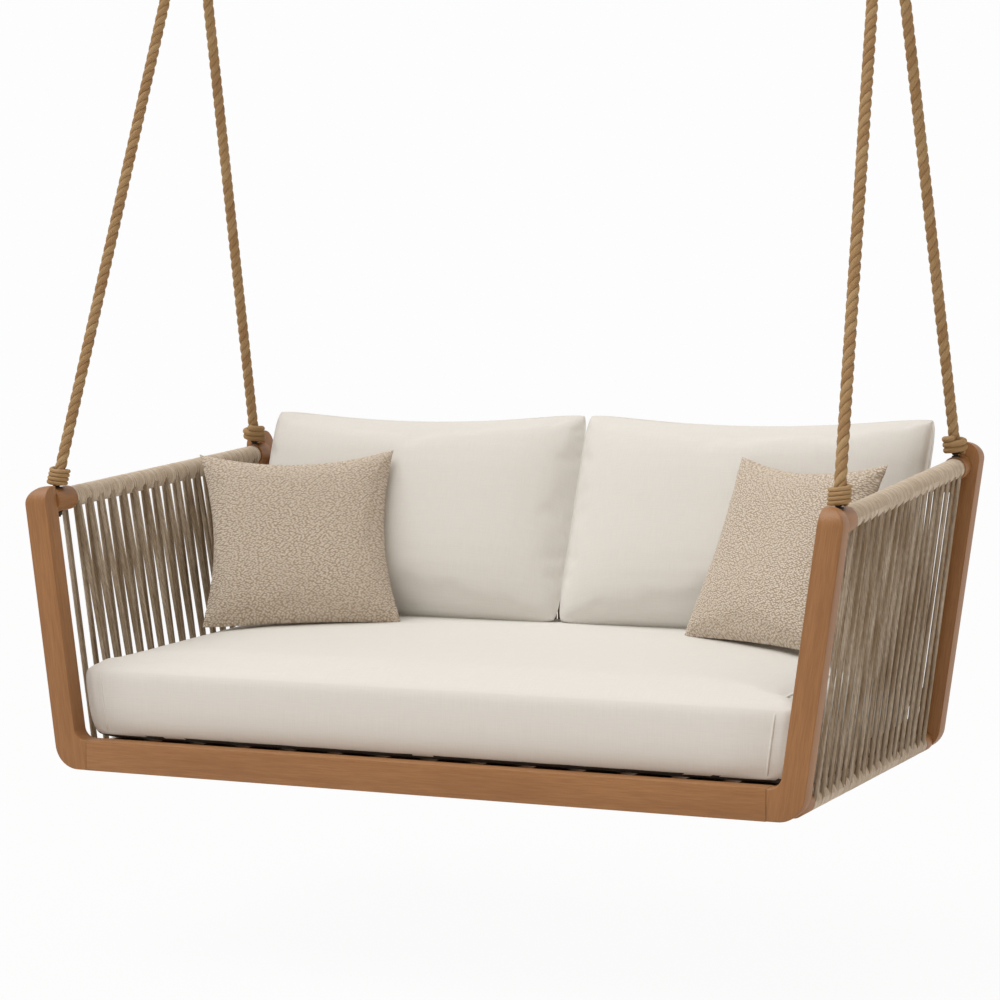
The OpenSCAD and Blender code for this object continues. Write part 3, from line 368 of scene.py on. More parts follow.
def oiledTeak(name, stretch, turn=(0, 0, 0), dark="764A26", middle="9A6A3B", light="A87747"):
    # Oiled teak, planed and sanded: straight grain in long brown streaks, a low sheen, open pores
    material, tree, shader = newMaterial(name)
    place = addNode(tree, "ShaderNodeTexCoord")
    turned = addNode(tree, "ShaderNodeMapping", {"Rotation": turn}, {"Vector": place.outputs["Object"]})
    long = addNode(tree, "ShaderNodeMapping", {"Scale": [55 * s for s in stretch]}, {"Vector": turned.outputs[0]})
    fine = addNode(tree, "ShaderNodeMapping", {"Scale": [420 * s for s in stretch]}, {"Vector": turned.outputs[0]})
    streaks = addNode(tree, "ShaderNodeTexNoise", {"Scale": 1.0, "Detail": 4.0, "Distortion": 0.6},
            {"Vector": long.outputs[0]})
    pores = addNode(tree, "ShaderNodeTexNoise", {"Scale": 1.0, "Detail": 5.0, "Roughness": 0.6},
            {"Vector": fine.outputs[0]})
    cloud = addNode(tree, "ShaderNodeTexNoise", {"Scale": 3.2, "Detail": 2.0}, {"Vector": place.outputs["Object"]})
    streakShare = addNode(tree, "ShaderNodeMapRange", {"From Min": 0.3, "From Max": 0.7},
            {"Value": streaks.outputs["Fac"]})
    body = addNode(tree, "ShaderNodeMix", {"data_type": "RGBA", 6: hexColour(middle), 7: hexColour(light)},
            {0: streakShare.outputs[0]})
    poreShare = addNode(tree, "ShaderNodeMapRange",
            {"From Min": 0.38, "From Max": 0.66, "To Min": 0.42, "To Max": 0.0}, {"Value": pores.outputs["Fac"]})
    grain = addNode(tree, "ShaderNodeMix", {"data_type": "RGBA", 7: hexColour(dark)},
            {0: poreShare.outputs[0], 6: body.outputs[2]})
    cloudShare = addNode(tree, "ShaderNodeMapRange", {"From Min": 0.35, "From Max": 0.7, "To Max": 0.25},
            {"Value": cloud.outputs["Fac"]})
    final = addNode(tree, "ShaderNodeMix", {"data_type": "RGBA", 7: hexColour(dark)},
            {0: cloudShare.outputs[0], 6: grain.outputs[2]})
    bump = addNode(tree, "ShaderNodeBump", {"Strength": 0.25, "Distance": 0.0006}, {"Height": pores.outputs["Fac"]})
    rough = addNode(tree, "ShaderNodeMapRange", {"To Min": 0.42, "To Max": 0.6}, {"Value": pores.outputs["Fac"]})
    finishShader(tree, shader, final, bump, {})
    tree.links.new(rough.outputs[0], shader.inputs["Roughness"])
    return material


teakAlongX = oiledTeak("oiledTeakRails", (0.045, 1, 1))
teakAlongY = oiledTeak("oiledTeakTurned", (1, 0.045, 1))
teakLeftPost = oiledTeak("oiledTeakLeftPosts", (1, 1, 0.045), (0, math.radians(timberLook["lean"]), 0))
teakRightPost = oiledTeak("oiledTeakRightPosts", (1, 1, 0.045), (0, -math.radians(timberLook["lean"]), 0))
# Sanded hardwood, dark brown as painted shade: the dark tone stands for the shade under the seat
slatShadeWoodY = oiledTeak("sandedSlatsPaintedShade", (1, 0.05, 1), dark="5E3D20", middle="7E5631", light="8C6239")
slatShadeWoodX = oiledTeak("sandedLedgersPaintedShade", (0.05, 1, 1), dark="5E3D20", middle="7E5631", light="8C6239")


def easedTimber(node, ending, material, width, joint=None):
    # The node's own form with its sharp edges rounded over, as a router and sandpaper leave them
    source = cad[node]
    piece = bpy.data.objects.new(node + ending, source.data.copy())
    bpy.context.scene.collection.objects.link(piece)
    pick(piece)
    bpy.ops.object.mode_set(mode="EDIT")
    bpy.ops.mesh.select_all(action="SELECT")
    bpy.ops.mesh.remove_doubles(threshold=0.00001)
    bpy.ops.mesh.dissolve_limited(angle_limit=math.radians(0.6))
    bpy.ops.object.mode_set(mode="OBJECT")
    edges = piece.modifiers.new("edges", "BEVEL")
    edges.width = width
    edges.segments = 3
    edges.limit_method = "ANGLE"
    edges.angle_limit = math.radians(38)
    if joint:  # glued ends keep a small edge and a hairline between the two pieces
        mesh = piece.data
        sharp = bmesh.new()
        sharp.from_mesh(mesh)
        weight = sharp.edges.layers.float.new("bevel_weight_edge")
        for e in sharp.edges:
            glued = all(abs(abs(v.co.x) - joint) < 0.0006 for v in e.verts)
            e[weight] = (0.2 if glued else 1) if e.calc_face_angle(0) > edges.angle_limit else 0
        if node.endswith("rail"):
            for v in sharp.verts:
                if abs(abs(v.co.x) - joint) < 0.0006:
                    v.co.x -= math.copysign(0.0008, v.co.x)
        sharp.to_mesh(mesh)
        sharp.free()
        edges.limit_method = "WEIGHT"
    edges.use_clamp_overlap = True
    edges.miter_outer = "MITER_ARC"
    bpy.ops.object.modifier_apply(modifier="edges")
    dress(piece, material, "bed", node)
    smoothShade(piece, 32)


for word, material in (("left", teakLeftPost), ("right", teakRightPost)):
    for node in ("front_post_", "rear_post_"):
        easedTimber(node + word, "_eased", material, timberLook["edge"], joint=timberLook["joint"])
    for node in ("side_top_rail_", "side_low_rail_"):
        easedTimber(node + word, "_turned", teakAlongY, timberLook["turnedEdge"])
for node in ("front_rail", "rear_rail"):
    easedTimber(node, "_eased", teakAlongX, timberLook["edge"], joint=timberLook["joint"])
for node in ("back_top_rail", "back_low_rails"):
    easedTimber(node, "_turned", teakAlongX, timberLook["turnedEdge"])
easedTimber("back_stile", "_eased", teakLeftPost, timberLook["edge"])
# slats, ledgers and corner dowels take the dark wood: painted shade under the seat
easedTimber("seat_slats", "_eased", slatShadeWoodY, timberLook["slatEdge"])
easedTimber("seat_ledgers", "_eased", slatShadeWoodX, timberLook["slatEdge"])
useMaterial(cad["corner_dowels"], slatShadeWoodX)
print("timber eased")

# ---- cord panels ----
panel = {"cord": 0.0088, "deep": 0.0080, "apart": 0.0101, "arcTop": 0.0188, "arcLow": 0.0178,
         # shares of a pitch: each cord climbs straight up outside and comes down a pitch further on
         "inner": 1.0, "last": 0.3,
         "margin": 0.0105, "sideLoops": 18, "backLoops": 15, "core": 0.032, "lowCore": 0.030,
         "collarFront": 0.075, "collarRear": 0.046, "lowX": 0.832, "lowZ": 0.024, "backTopZ": 0.625,
         "backLowZ": 0.122, "backY": 1.053, "backFrom": 0.030, "wrapTurn": 0.0084, "wrapOuter": 0.048, "lowWrapOuter": 0.045}
random.seed(7)


def loopRun(loops, top, low, topStep, lowStep, shift, jitter):
    # One cord's centre line: up the outer side, over the upper rail, down the inner side, under the lower rail
    along = Vector(topStep).normalized()
    lowAlong = Vector(lowStep).normalized()
    up = (top - low).normalized()
    across = lowAlong.cross(up).normalized()
    upTop = across.cross(along).normalized()
    topRadius, lowRadius = panel["arcTop"], panel["arcLow"]
    points, guides = [], []

    def add(p, w):
        points.append(p)
        guides.append(w)

    def lowPoint(share):
        return low + Vector(lowStep) * share + shift * lowAlong

    def topPoint(share):
        return top + Vector(topStep) * share + shift * along

    for i in range(loops):
        wobble = [random.uniform(-jitter, jitter) for q in range(4)]
        outLow = i + wobble[0]
        outTop = i + wobble[1]
        inTop = i + wobble[2]
        inLow = i + (panel["inner"] if i < loops - 1 else panel["last"]) + wobble[3]
        nextLow = i + 1
        bow = random.uniform(-1, 1) * 0.0012
        for k in range(0 if i == 0 else 1, 9):
            q = k / 9
            p = (lowPoint(outLow) + across * lowRadius) * (1 - q) + (topPoint(outTop) + across * topRadius) * q
            add(p + along * bow * math.sin(math.pi * q), lowAlong * (1 - q) + along * q)
        for k in range(9):
            angle = math.pi * k / 8
            centre = topPoint(outTop + (inTop - outTop) * k / 8)
            add(centre + topRadius * (math.cos(angle) * across + math.sin(angle) * upTop), along)
        for k in range(1, 9):
            q = k / 9
            p = (topPoint(inTop) - across * topRadius) * (1 - q) + (lowPoint(inLow) - across * lowRadius) * q
            add(p - along * bow * math.sin(math.pi * q), along * (1 - q) + lowAlong * q)
        if i < loops - 1:
            for k in range(9):
                angle = math.pi * k / 8
                centre = lowPoint(inLow + (nextLow - inLow) * k / 8)
                add(centre - lowRadius * (math.cos(angle) * across + math.sin(angle) * up), lowAlong)
        else:
            add(lowPoint(inLow) - across * lowRadius, lowAlong)
    return points, guides


def mirrored(points, side):
    return [Vector((side * p.x, p.y, p.z)) for p in points]


def cordPanel(name, loops, top, low, topStep, lowStep, side):
    runs = []
    for half in (-1, 1):
        points, guides = loopRun(loops, top, low, topStep, lowStep, half * panel["apart"] / 2, 0.018)
        runs.append((mirrored(points, side), mirrored(guides, side), panel["cord"], panel["deep"]))
    return sweep(name, runs, 8)


sideFrom = topRail["from"] + panel["collarFront"]
sideTo = topRail["to"] - panel["collarRear"]
sidePitch = (sideTo - sideFrom - 2 * panel["margin"]) / (panel["sideLoops"] - 1 + panel["last"])
sideY = sideFrom + panel["margin"]
post = {"topX": 0.950, "footX": 0.864, "height": 0.627, "thick": 0.054}
leanTan = (post["topX"] - post["footX"]) / post["height"]
postX = post["thick"] / math.cos(math.atan(leanTan))


def postInner(z):
    return post["footX"] + leanTan * z - postX


backTo = postInner(panel["backLowZ"]) - panel["collarRear"]
backPitch = (backTo - panel["backFrom"] - 2 * panel["margin"]) / (panel["backLoops"] - 1 + panel["last"])
backX = panel["backFrom"] + panel["margin"]
for side, word in ((-1, "left"), (1, "right")):
    sideCords = cordPanel("side_cords_" + word + "_pairs", panel["sideLoops"],
            atBed(hanging["railX"], sideY, railHeight(sideY)),
                          atBed(panel["lowX"], sideY, panel["lowZ"]), (0, sidePitch, sidePitch * slopeTan),
                          (0, sidePitch, 0), side)
    backCords = cordPanel("back_cords_" + word + "_pairs", panel["backLoops"],
            atBed(backX, panel["backY"], panel["backTopZ"]),
                          atBed(backX, panel["backY"], panel["backLowZ"]), (backPitch, 0, 0), (backPitch, 0, 0), side)
    for piece, node in ((sideCords, "side_cords_" + word), (backCords, "back_cords_" + word)):
        # the panel cords take the darker copy of the cord: painted shade
        dress(piece, panelCordShaded, "bed", node)


def wrapRings(start, direction, length, core, outer, side):
    # Close turns of cord over one stretch of a rail
    count = max(1, round(length / panel["wrapTurn"]))
    turn = length / count
    up = Vector((0, 0, 1))
    across = direction.cross(up).normalized()
    up = across.cross(direction).normalized()
    deep = (outer - core) / 2
    runs = []
    for i in range(count):
        middle = start + direction * (turn * (i + 0.5))
        points, guides = [], []
        tilt = 0.35 * turn
        grow = random.uniform(-0.0003, 0.0002)
        for k in range(24):
            angle = 2 * math.pi * k / 24
            out = math.cos(angle) * across + math.sin(angle) * up
            points.append(middle + out * (core / 2 + deep / 2 + grow) + direction * tilt * math.cos(angle + 0.5) * 0.5)
            guides.append(direction)
        runs.append((mirrored(points, side), mirrored(guides, side), turn * 0.93, deep))
    return runs


alongSlope = Vector((0, math.cos(slope), math.sin(slope)))
for side, word in ((-1, "left"), (1, "right")):
    runs = wrapRings(atBed(hanging["railX"], sideFrom, railHeight(sideFrom)), alongSlope,
            (sideTo - sideFrom) / math.cos(slope),
                     panel["core"], panel["wrapOuter"], side)
    runs += wrapRings(atBed(panel["lowX"], sideFrom, panel["lowZ"]), Vector((0, 1, 0)), sideTo - sideFrom,
                      panel["lowCore"], panel["lowWrapOuter"], side)
    piece = sweep("side_wraps_" + word + "_turns", runs, 8, closed=True)
    # the wraps take the lighter copy of the cord: painted light
    dress(piece, wrapCordLit, "bed", "side_wraps_" + word)
backRuns = []
for side in (-1, 1):
    topEnd = postInner(panel["backTopZ"]) - panel["collarRear"]
    backRuns += wrapRings(atBed(panel["backFrom"], panel["backY"], panel["backTopZ"]), Vector((1, 0, 0)),
            topEnd - panel["backFrom"],
                          panel["core"], panel["wrapOuter"], side)
    backRuns += wrapRings(atBed(panel["backFrom"], panel["backY"], panel["backLowZ"]), Vector((1, 0, 0)),
            backTo - panel["backFrom"],
                          panel["lowCore"], panel["lowWrapOuter"], side)
piece = sweep("back_wraps_turns", backRuns, 8, closed=True)
dress(piece, wrapCordLit, "bed", "back_wraps")
print("cords wound")


# ---- fabrics ----
def wovenLinen(name):
    # Linen-look outdoor weave: matt off-white yarns 1.4 mm apart with slubs, so it reads as a fine irregular
    # cross-hatch; the slightly darker gaps between the yarns are painted shade
    material, tree, shader = newMaterial(name)
    place = addNode(tree, "ShaderNodeTexCoord")
    split = addNode(tree, "ShaderNodeSeparateXYZ", {}, {0: place.outputs["Object"]})
    sumYz = addNode(tree, "ShaderNodeMath", {"operation": "ADD"}, {0: split.outputs[1], 1: split.outputs[2]})
    flat = addNode(tree, "ShaderNodeCombineXYZ", {}, {0: split.outputs[0], 1: sumYz.outputs[0]})
    warp, weft = [addNode(tree, "ShaderNodeTexWave",
            {"Scale": 0.314 / 0.0014, "Distortion": 0.8, "Detail": 2.0, "bands_direction": way},
                          {"Vector": flat.outputs[0]}) for way in "XY"]
    threads = addNode(tree, "ShaderNodeMath", {"operation": "MULTIPLY"},
            {0: warp.outputs["Fac"], 1: weft.outputs["Fac"]})
    stretched = [addNode(tree, "ShaderNodeMapping", {"Scale": scale}, {"Vector": flat.outputs[0]})
                 for scale in ((18, 420, 420), (420, 18, 18))]
    slubsX, slubsY = [addNode(tree, "ShaderNodeTexNoise", {"Scale": 1.0, "Detail": 3.0},
            {"Vector": one.outputs[0]}) for one in stretched]
    slubs = addNode(tree, "ShaderNodeMath", {"operation": "ADD"},
            {0: slubsX.outputs["Fac"], 1: slubsY.outputs["Fac"]})
    share = addNode(tree, "ShaderNodeMapRange", {"From Min": 0.72, "From Max": 1.28}, {"Value": slubs.outputs[0]})
    tone = addNode(tree, "ShaderNodeMix", {"data_type": "RGBA", 6: hexColour("DEDCD7"), 7: hexColour("E3E1DC")},
            {0: share.outputs[0]})
    # painted shade in the gaps between the yarns
    threadGapShade = addNode(tree, "ShaderNodeMapRange", {"From Min": 0.0, "From Max": 0.35, "To Min": 0.05, "To Max": 0.0},
            {"Value": threads.outputs[0]})
    final = addNode(tree, "ShaderNodeMix", {"data_type": "RGBA", 7: hexColour("BAB4AA")},
            {0: threadGapShade.outputs[0], 6: tone.outputs[2]})
    height = addNode(tree, "ShaderNodeMath", {"operation": "ADD"}, {0: threads.outputs[0], 1: slubs.outputs[0]})
    bump = addNode(tree, "ShaderNodeBump", {"Strength": 0.08, "Distance": 0.0004}, {"Height": height.outputs[0]})
    finishShader(tree, shader, final, bump, {"Roughness": 0.92, "Specular IOR Level": 0.2, "Sheen Weight": 0.08})
    return material


def loopedBoucle(name):
    # Boucle: looped wool-like yarn in slanting rows, light loops with painted taupe shade in the hollows between them,
    # very matt
    material, tree, shader = newMaterial(name)
    uv = addNode(tree, "ShaderNodeUVMap", {"uv_map": "UVMap"})
    rows = addNode(tree, "ShaderNodeMapping", {"Rotation": (0, 0, math.radians(-34)), "Scale": (150, 240, 1)},
            {"Vector": uv.outputs[0]})
    edges = addNode(tree, "ShaderNodeTexVoronoi",
            {"feature": "SMOOTH_F1", "voronoi_dimensions": "2D", "Scale": 1.0, "Smoothness": 0.3, "Randomness": 0.75},
            {"Vector": rows.outputs[0]})
    place = addNode(tree, "ShaderNodeTexCoord")
    curls = addNode(tree, "ShaderNodeTexNoise", {"Scale": 520.0, "Detail": 3.0}, {"Vector": place.outputs["Object"]})
    blotch = addNode(tree, "ShaderNodeTexNoise", {"Scale": 7.0, "Detail": 2.0}, {"Vector": place.outputs["Object"]})
    # painted shade: the taupe fills the hollows between the loops
    share = addNode(tree, "ShaderNodeMapRange", {"From Min": 0.62, "From Max": 0.25},
            {"Value": edges.outputs["Distance"]})
    tone = addNode(tree, "ShaderNodeMix", {"data_type": "RGBA", 6: hexColour("B8A58F"), 7: hexColour("E6DACB")},
            {0: share.outputs[0]})
    curlShare = addNode(tree, "ShaderNodeMapRange",
            {"From Min": 0.4, "From Max": 0.62, "To Min": 0.14, "To Max": 0.0}, {"Value": curls.outputs["Fac"]})
    curled = addNode(tree, "ShaderNodeMix", {"data_type": "RGBA", 7: hexColour("C8B8A4")},
            {0: curlShare.outputs[0], 6: tone.outputs[2]})
    shade = addNode(tree, "ShaderNodeMapRange", {"From Min": 0.38, "From Max": 0.66, "To Max": 0.2},
            {"Value": blotch.outputs["Fac"]})
    final = addNode(tree, "ShaderNodeMix", {"data_type": "RGBA", 7: hexColour("D6C8B6")},
            {0: shade.outputs[0], 6: curled.outputs[2]})
    curlHeight = addNode(tree, "ShaderNodeMath", {"operation": "MULTIPLY", 1: 0.5}, {0: curls.outputs["Fac"]})
    height = addNode(tree, "ShaderNodeMath", {"operation": "ADD"}, {0: share.outputs[0], 1: curlHeight.outputs[0]})
    bump = addNode(tree, "ShaderNodeBump", {"Strength": 0.9, "Distance": 0.0024}, {"Height": height.outputs[0]})
    finishShader(tree, shader, final, bump, {"Roughness": 0.95, "Specular IOR Level": 0.15, "Sheen Weight": 0.2})
    return material


linenWeave = wovenLinen("linenWeave")
boucleLoops = loopedBoucle("boucleLoops")


def outerShell(node):
    # A copy of a cushion's solid without the hollow for its core, to hold the fabric within it
    form = bmesh.new()
    form.from_mesh(cad[node].data)
    bmesh.ops.remove_doubles(form, verts=form.verts, dist=0.00001)
    form.verts.ensure_lookup_table()
    left, shells = set(form.verts), []
    while left:
        grown, edge = set(), [left.pop()]
        while edge:
            v = edge.pop()
            grown.add(v)
            for e in v.link_edges:
                w = e.other_vert(v)
                if w in left:
                    left.discard(w)
                    edge.append(w)
        shells.append(grown)
    largest = max(shells, key=len)
    bmesh.ops.delete(form, geom=[v for v in form.verts if v not in largest], context="VERTS")
    tree = BVHTree.FromBMesh(form)
    form.free()
    return tree


def inflate(piece, look, shell, seam):
    # Cloth a little larger than its filling, under pressure; its travel is capped and it stays by the construction's form
    start = np.array([v.co for v in piece.data.vertices])
    pick(piece)
    cloth = piece.modifiers.new("filling", "CLOTH")
    settings = cloth.settings
    settings.quality = 6
    settings.mass = 0.25
    settings.tension_stiffness = settings.compression_stiffness = look["stiff"]
    settings.shear_stiffness = look["stiff"] * 0.5
    settings.bending_stiffness = look["bend"]
    settings.use_pressure = True
    settings.uniform_pressure_force = look["pressure"]
    settings.shrink_min = -look["slack"]
    settings.effector_weights.gravity = 0
    if len(seam):
        group = piece.vertex_groups.new(name="seam")
        group.add([int(i) for i in seam], 1.0, "REPLACE")
        settings.vertex_group_mass = "seam"
    cloth.point_cache.frame_start = 1
    cloth.point_cache.frame_end = look["frames"]
    for n in range(1, look["frames"] + 1):
        bpy.context.scene.frame_set(n)
    shape = piece.evaluated_get(bpy.context.evaluated_depsgraph_get())
    moved = np.array([v.co for v in shape.data.vertices])
    piece.modifiers.remove(cloth)
    bpy.context.scene.frame_set(1)
    step = moved - start
    far = np.linalg.norm(step, axis=1)
    print(piece.name, "swelled by", round(float(far.mean()) * 1000, 1), "mm on average,",
            round(float(far.max()) * 1000, 1), "at most")
    start = start + step * np.minimum(1, look["cap"] / np.maximum(far, 1e-9))[:, None]
    piece.data.vertices.foreach_set("co", start.ravel())
    piece.data.update()
    fixed = set(int(i) for i in seam)
    for v in piece.data.vertices:
        near, normal, index, distance = shell.find_nearest(v.co)
        out = (v.co - near).dot(normal)
        room = look["proud"] if normal.y < -0.3 or normal.z > 0.6 else 0.0
        if v.index not in fixed:
            v.co = near + normal * max(min(out, room), -0.002)
    piece.data.update()


def finishCushion(piece, material, body, node, rim=()):
    pick(piece)
    if len(rim):  # the seam keeps its line when the panels are smoothed
        around = set(rim)
        crease = piece.data.attributes.new("crease_edge", "FLOAT", "EDGE")
        for edge in piece.data.edges:
            if edge.vertices[0] in around and edge.vertices[1] in around:
                crease.data[edge.index].value = 0.75
    smooth = piece.modifiers.new("softness", "SUBSURF")
    smooth.levels = smooth.render_levels = 1
    smooth.uv_smooth = "NONE"
    bpy.ops.object.modifier_apply(modifier="softness")
    piece.data.polygons.foreach_set("use_smooth", [True] * len(piece.data.polygons))
    dress(piece, material, body, node)


def knifeCushion(name, look, matrix, side, n):
    # Two squares of fabric sewn together round their edge: the grid's border is the seam
    w, h = look["size"]
    spread = [math.sin(math.pi / 2 * (2 * i / n - 1)) for i in range(n + 1)]
    points, flat, index = [], [], {}
    for f in (0, 1):
        for j in range(n + 1):
            for i in range(n + 1):
                if f == 1 and (i in (0, n) or j in (0, n)):
                    index[(f, i, j)] = index[(0, i, j)]
                    continue
                u, v = spread[i], spread[j]
                x = (w / 2 * u - look["draw"][0] * (1 - v * v) * u ** 3
                     - look["pinch"] * ((1 - v) / 2) ** 1.6 * (1 + u) / 2)
                blunt = look["blunt"] * (u * v) ** 10
                x += look["wide"][side > 0] * (1 + v) / 2 * ((1 + u) / 2) ** 4 - blunt * u
                z = h / 2 * v - look["draw"][1 if v > 0 else 2] * (1 - u * u) * v ** 3 - blunt * v
                full = max(0, (1 - abs(u) ** 3) * (1 - abs(v) ** 3)) ** 0.55
                index[(f, i, j)] = len(points)
                points.append(Vector((x, (look["bulge"][1] if f == 0 else -look["bulge"][0]) * full, z)))
                flat.append((x, z))
    faces, uv = [], []
    for f in (0, 1):
        for j in range(n):
            for i in range(n):
                quad = [index[(f, i, j)], index[(f, i + 1, j)], index[(f, i + 1, j + 1)], index[(f, i, j + 1)]]
                quad = quad if (f == 1) == (side > 0) else quad[::-1]
                faces.append(quad)
                uv.extend(flat[q] for q in quad)
    placed = []
    for p in points:
        q = matrix @ p
        placed.append(bedOrigin + Vector((side * q.x, q.y, q.z)))
    rim = [index[(0, i, 0)] for i in range(n)] + [index[(0, n, j)] for j in range(n)]
    rim += [index[(0, i, n)] for i in range(n, 0, -1)] + [index[(0, 0, j)] for j in range(n, 0, -1)]
    return meshPiece(name, placed, faces, uv), rim


def addWelt(name, line, outward, radius, body, material):
    # The narrow rolled edge where two panels of a cover are sewn together
    welt = sweep(name, [(line, outward, 2 * radius, 2 * radius)], 8, closed=True)
    useMaterial(welt, material)
    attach(welt, body)
    return welt


backLook = {"size": (0.852, 0.534), "bulge": (0.0952, 0.0748), "draw": (0, 0.030, 0.004), "pinch": 0.020, "lean": 22,
            "foot": 0.812, "base": 0.2812, "gap": 0.0016, "pressure": 3.5, "stiff": 10, "bend": 0.3, "slack": 0.012,
            "cap": 0.022, "proud": 0.004, "frames": 18, "wide": (0, 0.010), "blunt": 0.010}
for side, word in ((-1, "left"), (1, "right")):
    matrix = (Matrix.Translation(((backLook["size"][0] + backLook["gap"]) / 2, backLook["foot"], backLook["base"]))
              @ Matrix.Rotation(math.radians(-backLook["lean"]), 4,
              "X") @ Matrix.Translation((0, 0, backLook["size"][1] / 2)))
    piece, rim = knifeCushion("back_cushion_" + word + "_cover", backLook, matrix, side, 48)
    inflate(piece, backLook, outerShell("back_cushion_" + word), rim)
    finishCushion(piece, linenWeave, "back_cushion_" + word, "back_cushion_" + word, rim)
    line = [piece.data.vertices[i].co.copy() for i in rim]
    centre = sum(line, Vector()) / len(line)
    addWelt("back_cushion_" + word + "_seam", line, [p - centre for p in line], 0.0016, "back_cushion_" + word,
            linenWeave)
print("back cushions filled")

pillowLook = {"size": (0.478, 0.446), "bulge": (0.065, 0.065), "draw": (0.034, 0.036, 0.008), "pinch": 0,
        "lean": 23.5, "turn": 29,
              "pressure": 3.5, "stiff": 8, "bend": 0.25, "slack": 0.016, "cap": 0.016, "proud": 0.003, "frames": 18,
              "wide": (0, 0), "blunt": 0.004}
for side, word, place, roll in ((-1, "left", (0.563, 0.5886, 0.2735), 1.1), (1, "right", (0.566, 0.5866, 0.278), 0)):
    matrix = (Matrix.Translation(place) @ Matrix.Rotation(math.radians(-pillowLook["turn"]), 4, "Z")
              @ Matrix.Rotation(math.radians(roll), 4, "Y") @ Matrix.Rotation(math.radians(-pillowLook["lean"]), 4,
              "X")
              @ Matrix.Translation((0, 0, pillowLook["size"][1] / 2)))
    piece, rim = knifeCushion("pillow_" + word + "_cover", pillowLook, matrix, side, 44)
    inflate(piece, pillowLook, outerShell("pillow_" + word), rim)
    finishCushion(piece, boucleLoops, "pillow_" + word, "pillow_" + word, rim)
    for v in piece.data.vertices:  # the loops stand up unevenly, also along the outline
        v.co += v.normal * (0.0011 * noise.noise(v.co * 150) - 0.0004)
    piece.data.update()
print("pillows filled")

seatLook = {"half": 0.804, "front": 0.053, "rear": 0.062, "depth": 1.077, "base": 0.0583, "edge": 0.155,
        "rise": 0.030, "crown": 0.044,
            "corner": 0.026, "cells": (76, 46), "pressure": 2.5, "stiff": 16, "bend": 0.6, "slack": 0.006,
            "cap": 0.010,
            "proud": 0.004, "frames": 14, "endSeam": 0.771,
            "cornerPush": 0.015, "frontRise": 0.010, "welt": 0.0026, "weltPoints": 150}
# Up the boxed edge, as in the construction: share of the outline, share of the seam's height, height above that
seatSides = [(0.96, 0, 0), (0.984, 0, 0.004), (0.996, 0, 0.013), (1.002, 0, 0.028), (1.0045, 0.36, 0.008),
        (1.005, 0.55, 0), (1.0045, 0.78, 0),
             (1.004, 1, -0.016), (1.0025, 1, -0.006), (1, 1, 0)]


def seatForm(name, look):
    # A grid over the top and the underside, joined by rows of faces round the edge
    nx, ny = look["cells"]
    half, deep = look["half"], (look["depth"] - look["front"] - look["rear"]) / 2
    spreadX = [math.sin(math.pi / 2 * (2 * q / nx - 1)) for q in range(nx + 1)]
    spreadY = [math.sin(math.pi / 2 * (2 * q / ny - 1)) for q in range(ny + 1)]
    points, index = [], {}

    def outline(u, v):
        x, y, c = abs(u) * half, abs(v) * deep, look["corner"]
        dx, dy = max(0, x - (half - c)), max(0, y - (deep - c))
        d = math.hypot(dx, dy)
        k = c / d if d > c else 1
        return math.copysign(x - dx + dx * k, u), math.copysign(y - dy + dy * k, v)

    def put(key, x, y, share, lift):
        if key not in index:
            z = share * (look["edge"] + look["rise"] * (y / (2 * deep) + 0.5)) + lift
            x = x * (1 + leanTan * min(z, look["edge"]) / look["half"])
            index[key] = len(points)
            points.append(atBed(x, y + look["front"] + deep, look["base"] + z))
        return index[key]

    def onGrid(i, j, top):
        u, v = spreadX[i], spreadY[j]
        r = max(abs(u), abs(v), 1e-6)
        x, y = outline(u / r, v / r)
        if top:
            return put(("side", i, j, len(seatSides) - 1) if r > 0.9999 else ("top", i, j), x * r, y * r, 1,
                       look["crown"] * max(0, 1 - r ** 8) ** 0.7)
        return put(("side", i, j, 0) if r > 0.9999 else ("low", i, j), x * r * 0.96, y * r * 0.96, 0, 0)

    faces = []
    for top in (False, True):
        for i in range(nx):
            for j in range(ny):
                quad = [onGrid(i, j, top), onGrid(i + 1, j, top), onGrid(i + 1, j + 1, top), onGrid(i, j + 1, top)]
                faces.append(quad if top else quad[::-1])
    ring = ([(i, 0) for i in range(nx)] + [(nx, j) for j in range(ny)] + [(i, ny) for i in range(nx, 0, -1)]
            + [(0, j) for j in range(ny, 0, -1)])
    for k in range(len(seatSides) - 1):
        for m in range(len(ring)):
            quad = []
            for (i, j), row in ((ring[m], k), (ring[(m + 1) % len(ring)], k), (ring[(m + 1) % len(ring)], k + 1),
                    (ring[m], k + 1)):
                x, y = outline(spreadX[i], spreadY[j])
                share, height, lift = seatSides[row]
                quad.append(put(("side", i, j, row), x * share, y * share, height, lift))
            faces.append(quad)
    return meshPiece(name, points, faces)


def shadeLiningCloth(name):
    # Dark matt non-woven cloth that closes the cover from below; its dark tone is painted shade under the seat
    material, tree, shader = newMaterial(name)
    place = addNode(tree, "ShaderNodeTexCoord")
    fibres = addNode(tree, "ShaderNodeTexNoise", {"Scale": 700.0, "Detail": 4.0}, {"Vector": place.outputs["Object"]})
    tone = addNode(tree, "ShaderNodeMix", {"data_type": "RGBA", 6: hexColour("2F2A25"), 7: hexColour("4A433B")},
            {0: fibres.outputs["Fac"]})
    bump = addNode(tree, "ShaderNodeBump", {"Strength": 0.2, "Distance": 0.0004}, {"Height": fibres.outputs["Fac"]})
    finishShader(tree, shader, tone, bump, {"Roughness": 0.95})
    return material


seatShadeLining = shadeLiningCloth("bottomShadeLining")


def smoothStep(a, b, x):
    t = max(0.0, min(1.0, (x - a) / (b - a)))
    return t * t * (3 - 2 * t)


